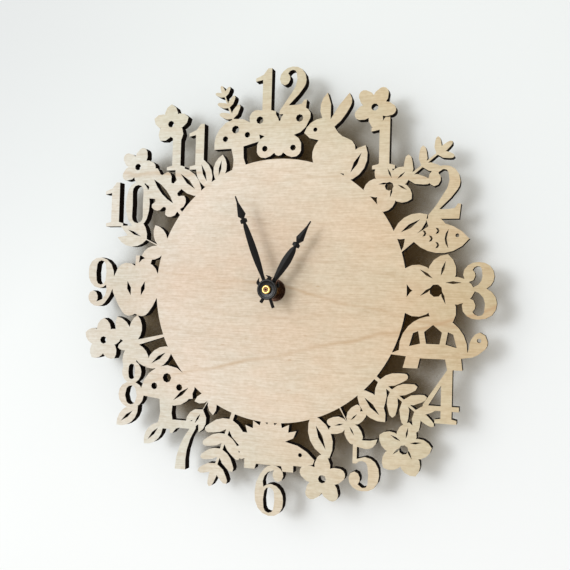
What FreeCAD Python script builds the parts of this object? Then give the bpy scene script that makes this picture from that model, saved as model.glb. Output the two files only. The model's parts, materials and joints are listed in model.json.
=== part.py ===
import FreeCAD, Part
import math
import os

# Fretwork wall clock: a plywood disc with a ring of cut-out figures round it, and a battery
# movement behind the disc that turns two hands in front of it. All sizes are in millimetres.
# The origin is on the axis of the hands, in the plane of the wall. +Y points into the wall, so
# the face looks along -Y, +Z is up and +X is to the right for someone who reads the clock.

# Plywood face
DISC_RADIUS = 88.0
RING_WIDTH = 61.6
PANEL_THICKNESS = 6.5

# Movement case. Its width and height follow from what it holds and from the room left round that
CASE_DEPTH = 16.0
CASE_CORNER_RADIUS = 3.0
CASE_WALL = 1.4
CASE_FRONT_WALL = 1.4
PARTITION_WALL = 1.2
COVER_THICKNESS = 1.5
COVER_CLEARANCE = 0.1
SEAT_WIDTH = 4.0
PEG_WIDTH = 2.0
SEAT_LIFT = 1.0
WHEEL_ROOM = 1.934
FINGER_NOTCH_RADIUS = 5.0

# Battery, of the size that is 50.5 mm long
BATTERY_RADIUS = 7.1
BATTERY_LENGTH = 50.5
BATTERY_NUB_RADIUS = 2.7
BATTERY_NUB_LENGTH = 1.2
BATTERY_CLEARANCE = 0.3
BAY_CLEARANCE = 0.4

# Contacts
CONTACT_THICKNESS = 0.4
CONTACT_WIDTH = 7.0
CONTACT_BEND_RADIUS = 0.8
CONTACT_TAIL_WIDTH = 2.0
CONTACT_SLOT_CLEARANCE = 0.1
LEAF_GAP = 0.2
LEAF_ROOM = 2.1

# Fastening of the movement through the panel
BUSHING_RADIUS = 4.0
BUSHING_REACH = 14.0
FLANGE_HALF = 4.8
FLANGE_THICKNESS = 0.8
HANGER_THICKNESS = 0.8
HANGER_WIDTH = 16.0
HANGER_BEND_RADIUS = 1.2
HANGER_RISE = 11.0
HANGER_WALL_GAP = 2.0
HANGER_TOP_GAP = 0.1
HANGER_DROP = 9.0
NAIL_HOLE_RADIUS = 3.0
NAIL_HOLE_DROP = 5.5
BRASS_WASHER_RADIUS = 7.5
BRASS_WASHER_THICKNESS = 0.5
PANEL_HOLE_CLEARANCE = 0.25
NUT_ACROSS_FLATS = 11.0
NUT_THICKNESS = 2.5
NUT_CHAMFER = 0.4

# Hands: each blade's length is from the axis to its tip
MINUTE_HAND_LENGTH = 65.8
MINUTE_HAND_TAIL = 12.7
MINUTE_HAND_WIDTH = 5.7
MINUTE_HUB_RADIUS = 6.75
HOUR_HAND_LENGTH = 52.3
HOUR_HAND_TAIL = 10.0
HOUR_HAND_WIDTH = 6.2
HOUR_HUB_RADIUS = 5.6
HAND_THICKNESS = 0.4
HUB_RISE = 0.6
HUB_DEPTH = 0.8
HORN_LENGTH = 3.4
HORN_WIDTH = 1.3
HAND_NUT_RADIUS = 2.9
HAND_NUT_THICKNESS = 1.7
MINUTE_HAND_ANGLE = -21.5
HOUR_HAND_ANGLE = 31.6

# Arbors and tubes
MINUTE_TUBE_RADIUS = 1.6
MINUTE_TUBE_BORE = 0.6
HOUR_TUBE_RADIUS = 2.5
ARBOR_RADIUS = 0.4
ARBOR_SEAT = 0.8
SECOND_ARBOR_RADIUS = 0.52
SECOND_ARBOR_REACH = 9.0
SETTING_STEM_RADIUS = 1.0
RUNNING_CLEARANCE = 0.05
HOUR_TUBE_LEAD = 5.5
MINUTE_TUBE_LEAD = 5.2
HAND_GAP = 2.7

# Wheels: thicknesses, and the gaps between one level and the next
HOUR_WHEEL_THICKNESS = 0.9
WHEEL_THICKNESS = 0.8
PINION_OVERHANG = 0.3
FLANGE_GAP = 0.2
MOTION_GAP = 0.5
BRIDGE_THICKNESS = 1.0
BRIDGE_GAP = 0.4
BRIDGE_INSET = 0.3
LEVEL_GAP = 0.8

# Setting knob in its cup at the back of the case
KNOB_RADIUS = 5.6
KNOB_THICKNESS = 2.0
KNOB_GAP = 0.4
KNOB_RIDGE_DEPTH = 0.6
KNOB_RIDGES = 14
CUP_CLEARANCE = 0.8
CUP_WALL = 1.0

# Motor: magnet, stator plate, coil and circuit board
MAGNET_RADIUS = 2.4
MAGNET_LENGTH = 2.0
MAGNET_AIR_GAP = 0.35
STATOR_THICKNESS = 1.0
STATOR_BAR = 5.5
STATOR_ARM = 4.0
STATOR_SEAT_GAP = 0.6
STATOR_BEYOND_ROTOR = 5.6
COIL_BAR_GAP = 1.08
CORE_THICKNESS = 1.0
CORE_WIDTH = 2.4
COIL_TOP_GAP = 0.5
FLANGE_BEYOND = 1.9
BOBBIN_FLANGE = 0.8
BOBBIN_WALL = 0.4
COIL_MARGIN = 0.3
BOARD_WHEEL_GAP = 3.534
BOARD_HEIGHT = 20.0
BOARD_THICKNESS = 1.0
BOARD_MARGIN = 0.6
CHIP_HALF = 2.4
CHIP_HEIGHT = 0.8
CRYSTAL_RADIUS = 0.9
CRYSTAL_LENGTH = 6.0

# Small allowances for cuts and joins, and for curves that are too short to need a true arc
OVERRUN = 1.0
JOIN = 0.05
LONG_CURVE = 60.0
CURVE_ALLOWANCE = 0.2
HAND_ALLOWANCE = 0.06
WIDEST_TURN_COSINE = 0.82

# Teeth of the wheels and of the pinions that they mesh with, and the modules of each pair
CENTRE_TEETH = 48
THIRD_TEETH = 45
SECOND_TEETH = 30
FIFTH_TEETH = 36
TRAIN_PINION_TEETH = 6
CANNON_TEETH = 10
MINUTE_WHEEL_TEETH = 30
MINUTE_PINION_TEETH = 8
HOUR_WHEEL_TEETH = 32
CENTRE_MODULE = 0.34
SECOND_MODULE = 0.52
FIFTH_MODULE = 0.40
MOTION_MODULE = 0.50

# Tooth forms: heights above and below the pitch circle as shares of the module, and half the
# width of the tip as a share of a quarter of the pitch, or none where the teeth are pointed
WHEEL_TOOTH_SHARES = {"above": 0.9, "below": 1.9, "tip": 0}
PINION_TOOTH_SHARES = {"above": 0.7, "below": 1.7, "tip": 0.3}

# Angles of the arbors round the axis that drives them, anticlockwise from +X
THIRD_ANGLE = 0.0
FIFTH_ANGLE = 70.0
ROTOR_ANGLE = 60.0
MINUTE_WHEEL_ANGLE = 180.0

# Levels along Y, from the case forwards and from its front wall backwards
case_face_y = -CASE_DEPTH
inner_face_y = case_face_y + CASE_FRONT_WALL
hanger_face_y = case_face_y - HANGER_THICKNESS
panel_back_y = hanger_face_y
panel_front_y = panel_back_y - PANEL_THICKNESS
brass_face_y = panel_front_y - BRASS_WASHER_THICKNESS
nut_face_y = brass_face_y - NUT_THICKNESS
bushing_end_y = case_face_y - BUSHING_REACH
flange_back_y = inner_face_y + FLANGE_THICKNESS
hour_tube_end_y = bushing_end_y - HOUR_TUBE_LEAD
hour_hand_front_y = hour_tube_end_y
minute_hand_back_y = hour_hand_front_y - HAND_GAP
minute_hand_front_y = minute_hand_back_y - HAND_THICKNESS
minute_tube_end_y = hour_tube_end_y - MINUTE_TUBE_LEAD
hand_nut_back_y = minute_hand_front_y - HUB_RISE
hand_nut_front_y = hand_nut_back_y - HAND_NUT_THICKNESS
hour_wheel_y = flange_back_y + FLANGE_GAP
minute_wheel_y = hour_wheel_y + HOUR_WHEEL_THICKNESS + MOTION_GAP
bridge_front_y = minute_wheel_y + WHEEL_THICKNESS + BRIDGE_GAP
bridge_back_y = bridge_front_y + BRIDGE_THICKNESS
centre_wheel_y = bridge_back_y + BRIDGE_GAP
level_step = WHEEL_THICKNESS + LEVEL_GAP
third_wheel_y = centre_wheel_y + level_step
second_wheel_y = third_wheel_y + level_step
fifth_wheel_y = second_wheel_y + level_step
cover_inner_y = -COVER_THICKNESS
magnet_y = fifth_wheel_y - level_step - MAGNET_LENGTH
stator_y = magnet_y + (MAGNET_LENGTH - STATOR_THICKNESS) / 2

def distance(wheel_teeth, pinion_teeth, module):
    """Distance between the axes of a wheel and its pinion."""
    return (wheel_teeth + pinion_teeth) * module / 2


def stepped_away(place, length, direction):
    """The place at a length from another one, in a direction in degrees."""
    turn = math.radians(direction)
    return place[0] + length * math.cos(turn), place[1] + length * math.sin(turn)


AXIS = (0.0, 0.0)
centre_distance = distance(CENTRE_TEETH, TRAIN_PINION_TEETH, CENTRE_MODULE)
third_module = 2 * centre_distance / (THIRD_TEETH + TRAIN_PINION_TEETH)
third_place = stepped_away(AXIS, centre_distance, THIRD_ANGLE)
second_distance = distance(SECOND_TEETH, TRAIN_PINION_TEETH, SECOND_MODULE)
fifth_place = stepped_away(AXIS, second_distance, FIFTH_ANGLE)
fifth_distance = distance(FIFTH_TEETH, TRAIN_PINION_TEETH, FIFTH_MODULE)
rotor_place = stepped_away(fifth_place, fifth_distance, ROTOR_ANGLE)
minute_distance = distance(MINUTE_WHEEL_TEETH, CANNON_TEETH, MOTION_MODULE)
minute_place = stepped_away(AXIS, minute_distance, MINUTE_WHEEL_ANGLE)
hour_module = 2 * minute_distance / (HOUR_WHEEL_TEETH + MINUTE_PINION_TEETH)


def radii(teeth, module, shares):
    """Radii at the foot and at the tip of the teeth."""
    pitch = teeth * module / 2
    return pitch - shares["below"] * module, pitch + shares["above"] * module


# Places across the case, from the rotor up over the coil, and from the wheels down over the battery
wheel_reach = max(radii(teeth, module, WHEEL_TOOTH_SHARES)[1] for teeth, module in (
    (CENTRE_TEETH, CENTRE_MODULE), (SECOND_TEETH, SECOND_MODULE), (THIRD_TEETH, third_module),
    (HOUR_WHEEL_TEETH, hour_module)))
coil_z = rotor_place[1] + STATOR_BAR / 2 + COIL_BAR_GAP + FLANGE_BEYOND + CORE_WIDTH / 2
cavity_top = coil_z + CORE_WIDTH / 2 + FLANGE_BEYOND + COIL_TOP_GAP
case_top = cavity_top + CASE_WALL
cavity_bottom = -wheel_reach - WHEEL_ROOM
bay_top = cavity_bottom - PARTITION_WALL
bay_bottom = bay_top - 2 * (BATTERY_RADIUS + BAY_CLEARANCE)
case_bottom = bay_bottom - CASE_WALL
inner_width = CONTACT_THICKNESS + LEAF_GAP + BATTERY_LENGTH + LEAF_ROOM
inner_left = -inner_width / 2
inner_right = inner_width / 2
case_left = inner_left - CASE_WALL
case_right = inner_right + CASE_WALL
battery_y = inner_face_y + BATTERY_CLEARANCE + BATTERY_RADIUS
battery_z = (bay_bottom + bay_top) / 2
battery_right = inner_right - CONTACT_THICKNESS - LEAF_GAP
battery_left = battery_right - BATTERY_LENGTH
board_left = inner_left + PEG_WIDTH + BOARD_MARGIN
board_right = -wheel_reach - BOARD_WHEEL_GAP
board_width = board_right - board_left
board_bottom = cavity_bottom + CONTACT_THICKNESS
stator_left = inner_left + SEAT_WIDTH + STATOR_SEAT_GAP
stator_right = rotor_place[0] + STATOR_BEYOND_ROTOR
coil_left = stator_left + STATOR_ARM + COIL_MARGIN
coil_right = stator_right - STATOR_ARM - COIL_MARGIN
core_y = stator_y + STATOR_THICKNESS


# Flat outlines. An outline is a list of points: one in round brackets is smooth, and one in
# square brackets is a sharp corner. Corners are joined by straight lines and the rest by arcs.


def direction_through(before, here, after):
    """Direction at a smooth point: that of the circle through it and its two neighbours."""
    back = (here[0] - before[0], here[1] - before[1])
    on = (after[0] - here[0], after[1] - here[1])
    back_size = back[0] ** 2 + back[1] ** 2
    on_size = on[0] ** 2 + on[1] ** 2
    along = (back[0] / back_size + on[0] / on_size, back[1] / back_size + on[1] / on_size)
    size = math.hypot(*along)
    return along[0] / size, along[1] / size


def arc_middle(start, along, end):
    """Middle of the arc that leaves start in a direction and arrives at end, or None if straight."""
    chord = (end[0] - start[0], end[1] - start[1])
    turn = math.atan2(chord[0] * along[1] - chord[1] * along[0],
                      chord[0] * along[0] + chord[1] * along[1])
    if abs(turn) < 0.01:
        return None
    rise = math.tan(turn / 2) / 2
    return ((start[0] + end[0]) / 2 - chord[1] * rise, (start[1] + end[1]) / 2 + chord[0] * rise)


def biarc_joint(start, leaving, end, arriving):
    """Where two arcs meet that leave start and arrive at end in the given directions."""
    chord = (end[0] - start[0], end[1] - start[1])
    both = (leaving[0] + arriving[0], leaving[1] + arriving[1])
    across = chord[0] * both[0] + chord[1] * both[1]
    square = chord[0] ** 2 + chord[1] ** 2
    spread = 2 * (1 - leaving[0] * arriving[0] - leaving[1] * arriving[1])
    if spread < 0.0001:
        reach = square / (2 * across)
    else:
        reach = (math.sqrt(across ** 2 + spread * square) - across) / spread
    return ((start[0] + end[0] + reach * (leaving[0] - arriving[0])) / 2,
            (start[1] + end[1] + reach * (leaving[1] - arriving[1])) / 2)


def upright(u, v):
    """A point of an outline that is drawn in the plane of the panel."""
    return FreeCAD.Vector(u, 0, v)


def side_on(u, v):
    """A point of an outline that is drawn in the YZ plane."""
    return FreeCAD.Vector(0, u, v)


def lying(u, v):
    """A point of an outline that is drawn in the XY plane."""
    return FreeCAD.Vector(u, v, 0)


def line(start, end, plane):
    return Part.LineSegment(plane(*start), plane(*end)).toShape()


def curve(start, middle, end, plane, allowance):
    """Edges of one arc. A short arc is cut as straight runs that stray only by an allowance."""
    if middle is None:
        return [line(start, end, plane)]
    chord = (end[0] - start[0], end[1] - start[1])
    length = math.hypot(*chord)
    rise = math.hypot(middle[0] - (start[0] + end[0]) / 2, middle[1] - (start[1] + end[1]) / 2)
    radius = (length ** 2 / 4 + rise ** 2) / (2 * rise)
    sweep = 4 * math.atan2(2 * rise, length)
    if sweep * radius > LONG_CURVE:
        return [Part.Arc(plane(*start), plane(*middle), plane(*end)).toShape()]
    allowed = 2 * math.acos(max(1 - allowance / radius, WIDEST_TURN_COSINE))
    runs = max(round(sweep / allowed), 1)
    side = (middle[0] - (start[0] + end[0]) / 2, middle[1] - (start[1] + end[1]) / 2)
    hub = (middle[0] - side[0] / rise * radius, middle[1] - side[1] / rise * radius)
    turn = sweep / runs
    if chord[0] * side[1] - chord[1] * side[0] > 0:
        turn = -turn
    spots = [start]
    for index in range(1, runs):
        away = (start[0] - hub[0], start[1] - hub[1])
        cosine = math.cos(index * turn)
        sine = math.sin(index * turn)
        spots.append((hub[0] + away[0] * cosine - away[1] * sine,
                      hub[1] + away[0] * sine + away[1] * cosine))
    spots.append(end)
    return [line(spots[index], spots[index + 1], plane) for index in range(runs)]


def outline_face(points, plane=upright, allowance=CURVE_ALLOWANCE):
    """Flat face inside a closed outline."""
    count = len(points)
    sharp = [isinstance(point, list) for point in points]
    edges = []
    for index in range(count):
        after = (index + 1) % count
        start = tuple(points[index])
        end = tuple(points[after])
        leaving = arriving = None
        if not sharp[index]:
            leaving = direction_through(points[index - 1], start, end)
        if not sharp[after]:
            arriving = direction_through(start, end, points[(after + 1) % count])
        if leaving and arriving:
            joint = biarc_joint(start, leaving, end, arriving)
            backwards = (-arriving[0], -arriving[1])
            edges += curve(start, arc_middle(start, leaving, joint), joint, plane, allowance)
            edges += curve(joint, arc_middle(end, backwards, joint), end, plane, allowance)
        elif leaving:
            edges += curve(start, arc_middle(start, leaving, end), end, plane, allowance)
        elif arriving:
            backwards = (-arriving[0], -arriving[1])
            edges += curve(start, arc_middle(end, backwards, start), end, plane, allowance)
        else:
            edges.append(line(start, end, plane))
    return Part.Face(Part.Wire(edges))


def strip_face(path, thickness, bend_radius, plane):
    """Face of a bent sheet seen on edge: a path with rounded bends, thickened to both sides."""
    half = thickness / 2
    sides = {1: [], -1: []}
    for index, here in enumerate(path):
        before = path[max(index - 1, 0)]
        after = path[min(index + 1, len(path) - 1)]
        first = math.atan2(here[1] - before[1], here[0] - before[0])
        second = math.atan2(after[1] - here[1], after[0] - here[0])
        if index == 0:
            first = second
        if index == len(path) - 1:
            second = first
        turn = math.atan2(math.sin(second - first), math.cos(second - first))
        if abs(turn) < 0.01:
            for side in sides:
                sides[side].append(("end", (here[0] - side * half * math.sin(first),
                                            here[1] + side * half * math.cos(first))))
            continue
        hand = 1 if turn > 0 else -1
        middle_radius = bend_radius + half
        back = middle_radius * math.tan(abs(turn) / 2)
        entry = (here[0] - back * math.cos(first), here[1] - back * math.sin(first))
        hub = (entry[0] - hand * middle_radius * math.sin(first),
               entry[1] + hand * middle_radius * math.cos(first))
        for side in sides:
            radius = middle_radius - hand * side * half
            spots = []
            for heading in (first, first + turn / 2, second):
                spots.append((hub[0] + hand * radius * math.sin(heading),
                              hub[1] - hand * radius * math.cos(heading)))
            sides[side].append(("arc", spots))
    edges = []
    corners = []
    for side in sides:
        last = None
        for kind, spots in sides[side]:
            entry = spots if kind == "end" else spots[0]
            if last is not None:
                edges.append(line(last, entry, plane))
            if kind == "arc":
                edges += curve(spots[0], spots[1], spots[2], plane, bend_radius / 8)
                last = spots[2]
            else:
                last = spots
        corners.append((sides[side][0][1], last))
    edges.append(line(corners[0][0], corners[1][0], plane))
    edges.append(line(corners[0][1], corners[1][1], plane))
    return Part.Face(Part.Wire(Part.__sortEdges__(edges)))


def joined(shapes):
    """One solid from shapes that overlap or touch."""
    whole = shapes[0].fuse(shapes[1:]) if len(shapes) > 1 else shapes[0]
    return whole.removeSplitter()


def cylinder(place, radius, start_y, end_y):
    """Round bar along Y at a place across the clock."""
    base = FreeCAD.Vector(place[0], start_y, place[1])
    return Part.makeCylinder(radius, end_y - start_y, base, FreeCAD.Vector(0, 1, 0))


def turned(place, steps, bore=0):
    """Stepped bar along Y. Each step has its start, its end and its radius."""
    profile = [[bore, steps[0][0]]]
    for start, end, radius in steps:
        profile += [[radius, start], [radius, end]]
    profile.append([bore, steps[-1][1]])
    cleaned = [point for index, point in enumerate(profile) if point != profile[index - 1]]
    face = outline_face(cleaned, lying)
    solid = face.revolve(FreeCAD.Vector(0, 0, 0), FreeCAD.Vector(0, 1, 0), 360)
    solid.translate(FreeCAD.Vector(place[0], 0, place[1]))
    return solid


def slab(left, right, bottom, top, start_y, end_y):
    """Block between two levels along Y."""
    base = FreeCAD.Vector(left, start_y, bottom)
    return Part.makeBox(right - left, end_y - start_y, top - bottom, base)


def block_at(place, half, start_y, end_y):
    """Square block round a place across the clock."""
    return slab(place[0] - half, place[0] + half, place[1] - half, place[1] + half, start_y, end_y)


def rounded_slab(left, right, bottom, top, start_y, end_y, radius):
    block = slab(left, right, bottom, top, start_y, end_y)
    along_y = [line for line in block.Edges if abs(line.BoundBox.YLength - (end_y - start_y)) < JOIN
               and line.BoundBox.XLength < JOIN and line.BoundBox.ZLength < JOIN]
    return block.makeFillet(radius, along_y)


def toothed(place, teeth, module, shares, phase, start_y, end_y):
    """Wheel or pinion whose first tooth points in the direction called phase, in degrees."""
    root_radius, tip_radius = radii(teeth, module, shares)
    quarter = math.pi / 2 / teeth
    points = []
    tips = sorted({-shares["tip"], shares["tip"]})
    for index in range(teeth):
        heading = math.radians(phase) + index * 4 * quarter
        for radius, turn in [(root_radius, -2)] + [(tip_radius, tip) for tip in tips]:
            angle = heading + turn * quarter
            points.append([place[0] + radius * math.cos(angle), place[1] + radius * math.sin(angle)])
    face = outline_face(points)
    face.translate(FreeCAD.Vector(0, start_y, 0))
    return face.extrude(FreeCAD.Vector(0, end_y - start_y, 0))


def wheel(place, teeth, module, phase, start_y, thickness=WHEEL_THICKNESS):
    return toothed(place, teeth, module, WHEEL_TOOTH_SHARES, phase, start_y, start_y + thickness)


def pinion(place, teeth, module, phase, start_y, end_y):
    return toothed(place, teeth, module, PINION_TOOTH_SHARES, phase, start_y, end_y)


def facing_gap(direction, teeth):
    """Phase of a pinion whose gap faces back along a direction, so that it meshes there."""
    return direction + 180 + 180 / teeth


# Movement case, cover, and the bridge that carries the wheels


def corner_blocks(width, start_y, end_y, grow=0):
    """Blocks on the side walls near the corners, the low ones lifted clear of the contacts."""
    blocks = []
    lifted_bottom = cavity_bottom + SEAT_LIFT
    for left, right in ((inner_left - JOIN, inner_left + width + grow),
                        (inner_right - width - grow, inner_right + JOIN)):
        for low, high in ((lifted_bottom - grow, lifted_bottom + width + grow),
                          (cavity_top - width - grow, cavity_top + JOIN)):
            blocks.append(slab(left, right, low, high, start_y, end_y))
    return blocks


def contact_slots(start_y, end_y, low, high):
    """Room in the partition for the two contacts, where each one bends along it."""
    room = CONTACT_THICKNESS + CONTACT_BEND_RADIUS + CONTACT_SLOT_CLEARANCE
    return [slab(inner_left, inner_left + room, low, high, start_y, end_y),
            slab(inner_right - room, inner_right, low, high, start_y, end_y)]


def movement_case():
    body = rounded_slab(case_left, case_right, case_bottom, case_top, case_face_y, 0,
                        CASE_CORNER_RADIUS)
    cavity = slab(inner_left, inner_right, cavity_bottom, cavity_top, inner_face_y, OVERRUN)
    bay = slab(inner_left, inner_right, bay_bottom, bay_top, inner_face_y, OVERRUN)
    body = body.cut([cavity, bay, cylinder(AXIS, BUSHING_RADIUS, case_face_y - OVERRUN, 0)])
    seats = corner_blocks(SEAT_WIDTH, inner_face_y - JOIN, bridge_front_y)
    pegs = corner_blocks(PEG_WIDTH, bridge_front_y - JOIN, cover_inner_y)
    body = joined([body] + seats + pegs)
    slots = contact_slots(bridge_back_y - CONTACT_SLOT_CLEARANCE, OVERRUN, bay_top - JOIN,
                          cavity_bottom + JOIN)
    notch = cylinder((battery_left + BATTERY_LENGTH / 2, bay_bottom), FINGER_NOTCH_RADIUS,
                     battery_y, OVERRUN)
    stem_hole = cylinder(minute_place, SETTING_STEM_RADIUS + RUNNING_CLEARANCE,
                         inner_face_y - ARBOR_SEAT, inner_face_y + JOIN)
    return body.cut(slots + [notch, stem_hole])


def movement_cover():
    plate = slab(inner_left + COVER_CLEARANCE, inner_right - COVER_CLEARANCE,
                 cavity_bottom + COVER_CLEARANCE, cavity_top - COVER_CLEARANCE, cover_inner_y, 0)
    half = KNOB_RADIUS + CUP_CLEARANCE
    cup_floor_y = -KNOB_THICKNESS - 2 * KNOB_GAP
    plate = plate.fuse(block_at(minute_place, half + CUP_WALL, cup_floor_y - CUP_WALL, -JOIN))
    holes = [block_at(minute_place, half, cup_floor_y, OVERRUN),
             cylinder(minute_place, SETTING_STEM_RADIUS + RUNNING_CLEARANCE,
                      cup_floor_y - CUP_WALL - OVERRUN, 0)]
    for place in (AXIS, third_place, fifth_place, rotor_place):
        radius = SECOND_ARBOR_RADIUS if place == AXIS else ARBOR_RADIUS
        holes.append(cylinder(place, radius + RUNNING_CLEARANCE,
                              cover_inner_y - JOIN, cover_inner_y + ARBOR_SEAT + JOIN))
    return plate.cut(holes)


def train_bridge():
    plate = slab(inner_left + BRIDGE_INSET, inner_right - BRIDGE_INSET,
                 cavity_bottom + BRIDGE_INSET, cavity_top - BRIDGE_INSET,
                 bridge_front_y, bridge_back_y)
    holes = corner_blocks(PEG_WIDTH, bridge_front_y - OVERRUN, bridge_back_y + OVERRUN, BRIDGE_INSET)
    for place, radius in ((AXIS, MINUTE_TUBE_RADIUS), (minute_place, SETTING_STEM_RADIUS),
                          (third_place, ARBOR_RADIUS), (fifth_place, ARBOR_RADIUS),
                          (rotor_place, ARBOR_RADIUS)):
        holes.append(cylinder(place, radius + RUNNING_CLEARANCE,
                              bridge_front_y - OVERRUN, bridge_back_y + OVERRUN))
    return plate.cut(holes)


# Battery and contacts


def battery():
    steps = [(0, BATTERY_LENGTH - BATTERY_NUB_LENGTH, BATTERY_RADIUS),
             (BATTERY_LENGTH - BATTERY_NUB_LENGTH, BATTERY_LENGTH, BATTERY_NUB_RADIUS)]
    cell = turned(AXIS, steps)
    cell.rotate(FreeCAD.Vector(0, 0, 0), FreeCAD.Vector(0, 0, 1), -90)
    cell.translate(FreeCAD.Vector(battery_left, battery_y, battery_z))
    return cell


def battery_contact_positive():
    """Flat spring at the button end, with a tail that runs along the partition to the board."""
    x = inner_right - CONTACT_THICKNESS / 2
    tail_z = cavity_bottom + CONTACT_THICKNESS / 2
    low = battery_z - CONTACT_WIDTH / 2
    plate = strip_face([(x, low), (x, bay_top)], CONTACT_THICKNESS, CONTACT_BEND_RADIUS, upright)
    tail = strip_face([(x, bay_top), (x, tail_z), (board_left + board_width / 2, tail_z)],
                      CONTACT_THICKNESS, CONTACT_BEND_RADIUS, upright)
    plate = lifted(plate, battery_y - CONTACT_WIDTH / 2, CONTACT_WIDTH)
    tail = lifted(tail, bridge_back_y, CONTACT_TAIL_WIDTH + CONTACT_WIDTH / 2)
    return joined([plate, tail])


def lifted(face, start_y, width):
    """Solid between two levels along Y from a face that is drawn in the plane of the panel."""
    face = face.copy()
    face.translate(FreeCAD.Vector(0, start_y, 0))
    return face.extrude(FreeCAD.Vector(0, width, 0))


def battery_contact_negative():
    """Bowed leaf at the flat end, with a tail that bends along the partition to the board."""
    x = inner_left + CONTACT_THICKNESS / 2
    bow = battery_left - LEAF_GAP - CONTACT_THICKNESS / 2
    low = battery_z - CONTACT_WIDTH / 2
    high = battery_z + CONTACT_WIDTH / 2
    path = [(x, low - CONTACT_WIDTH / 4), (x, low), (bow, battery_z), (x, high), (x, bay_top)]
    plate = lifted(strip_face(path, CONTACT_THICKNESS, CONTACT_BEND_RADIUS, upright),
                   battery_y - CONTACT_WIDTH / 2, CONTACT_WIDTH)
    tail_z = cavity_bottom + CONTACT_THICKNESS / 2
    tail = lifted(strip_face([(x, high), (x, tail_z), (board_left + board_width / 4, tail_z)],
                             CONTACT_THICKNESS, CONTACT_BEND_RADIUS, upright),
                  bridge_back_y, CONTACT_TAIL_WIDTH + CONTACT_WIDTH / 2)
    return joined([plate, tail])


# Circuit board and motor


def circuit_board():
    return slab(board_left, board_left + board_width, board_bottom, board_bottom + BOARD_HEIGHT,
                bridge_back_y, bridge_back_y + BOARD_THICKNESS)


def chip():
    start = bridge_back_y + BOARD_THICKNESS
    return block_at((board_left + board_width / 3, board_bottom + BOARD_HEIGHT * 2 / 3), CHIP_HALF,
                    start, start + CHIP_HEIGHT)


def quartz_crystal():
    can = turned(AXIS, [(0, CRYSTAL_LENGTH, CRYSTAL_RADIUS)])
    can.rotate(FreeCAD.Vector(0, 0, 0), FreeCAD.Vector(1, 0, 0), 90)
    can.translate(FreeCAD.Vector(board_left + board_width / 3,
                                 bridge_back_y + BOARD_THICKNESS + CRYSTAL_RADIUS,
                                 board_bottom + BOARD_HEIGHT / 6))
    return can


def stator():
    """Plate with a hole round the magnet, and two arms that carry the core."""
    low = rotor_place[1] - STATOR_BAR / 2
    high = rotor_place[1] + STATOR_BAR / 2
    top = coil_z + CORE_WIDTH / 2
    end_y = stator_y + STATOR_THICKNESS
    bar = slab(stator_left, stator_right, low, high, stator_y, end_y)
    arms = [slab(stator_left, stator_left + STATOR_ARM, low, top, stator_y, end_y),
            slab(stator_right - STATOR_ARM, stator_right, low, top, stator_y, end_y)]
    eye = block_at(rotor_place, MAGNET_RADIUS + MAGNET_AIR_GAP + STATOR_THICKNESS, stator_y, end_y)
    hole = cylinder(rotor_place, MAGNET_RADIUS + MAGNET_AIR_GAP, stator_y - OVERRUN, end_y + OVERRUN)
    feet = [block_at((stator_left + STATOR_ARM / 2, rotor_place[1]), STATOR_ARM / 4,
                     bridge_back_y, stator_y + JOIN),
            block_at((stator_right - STATOR_ARM / 2, coil_z - STATOR_ARM / 2), STATOR_ARM / 4,
                     bridge_back_y, stator_y + JOIN)]
    return joined([bar, eye] + arms + feet).cut(hole)


def coil_core():
    return slab(stator_left, stator_right, coil_z - CORE_WIDTH / 2, coil_z + CORE_WIDTH / 2,
                core_y, core_y + CORE_THICKNESS)


def round_coil(left, right, beyond):
    """Block along the core that reaches a distance beyond it on every side."""
    return slab(left, right, coil_z - CORE_WIDTH / 2 - beyond, coil_z + CORE_WIDTH / 2 + beyond,
                core_y - beyond, core_y + CORE_THICKNESS + beyond)


def coil_bobbin():
    body = joined([round_coil(coil_left, coil_left + BOBBIN_FLANGE, FLANGE_BEYOND),
                   round_coil(coil_left + JOIN, coil_right - JOIN, BOBBIN_WALL),
                   round_coil(coil_right - BOBBIN_FLANGE, coil_right, FLANGE_BEYOND)])
    return body.cut(round_coil(coil_left - OVERRUN, coil_right + OVERRUN, 0))


def coil_winding():
    """Layers of thin wire as one body, rounded at its corners."""
    left = coil_left + BOBBIN_FLANGE
    right = coil_right - BOBBIN_FLANGE
    body = round_coil(left, right, FLANGE_BEYOND - COIL_MARGIN)
    lengthwise = [side for side in body.Edges if side.BoundBox.XLength > right - left - JOIN]
    body = body.makeFillet(BOBBIN_WALL + COIL_MARGIN, lengthwise)
    return body.cut(round_coil(left - OVERRUN, right + OVERRUN, BOBBIN_WALL))


def rotor():
    start = fifth_wheel_y - PINION_OVERHANG
    end = fifth_wheel_y + WHEEL_THICKNESS + PINION_OVERHANG
    magnet = cylinder(rotor_place, MAGNET_RADIUS, magnet_y, magnet_y + MAGNET_LENGTH)
    phase = facing_gap(ROTOR_ANGLE, TRAIN_PINION_TEETH)
    leaves = pinion(rotor_place, TRAIN_PINION_TEETH, FIFTH_MODULE, phase, start, end)
    return joined([train_arbor(rotor_place), magnet, leaves])


# Going train: each arbor carries a wheel that is driven and a pinion that drives


def train_arbor(place):
    """Steel pin that runs in the bridge in front and in the cover behind."""
    return cylinder(place, ARBOR_RADIUS, bridge_back_y - ARBOR_SEAT, cover_inner_y + ARBOR_SEAT)


def train_wheel(place, wheel_teeth, wheel_module, wheel_phase, wheel_y,
                pinion_module, pinion_phase, pinion_y):
    driven = wheel(place, wheel_teeth, wheel_module, wheel_phase, wheel_y)
    start = pinion_y - PINION_OVERHANG
    end = wheel_y if pinion_y < wheel_y else pinion_y + WHEEL_THICKNESS + PINION_OVERHANG
    driver = pinion(place, TRAIN_PINION_TEETH, pinion_module, pinion_phase, start, end)
    return joined([driven, driver, train_arbor(place)])


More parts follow.
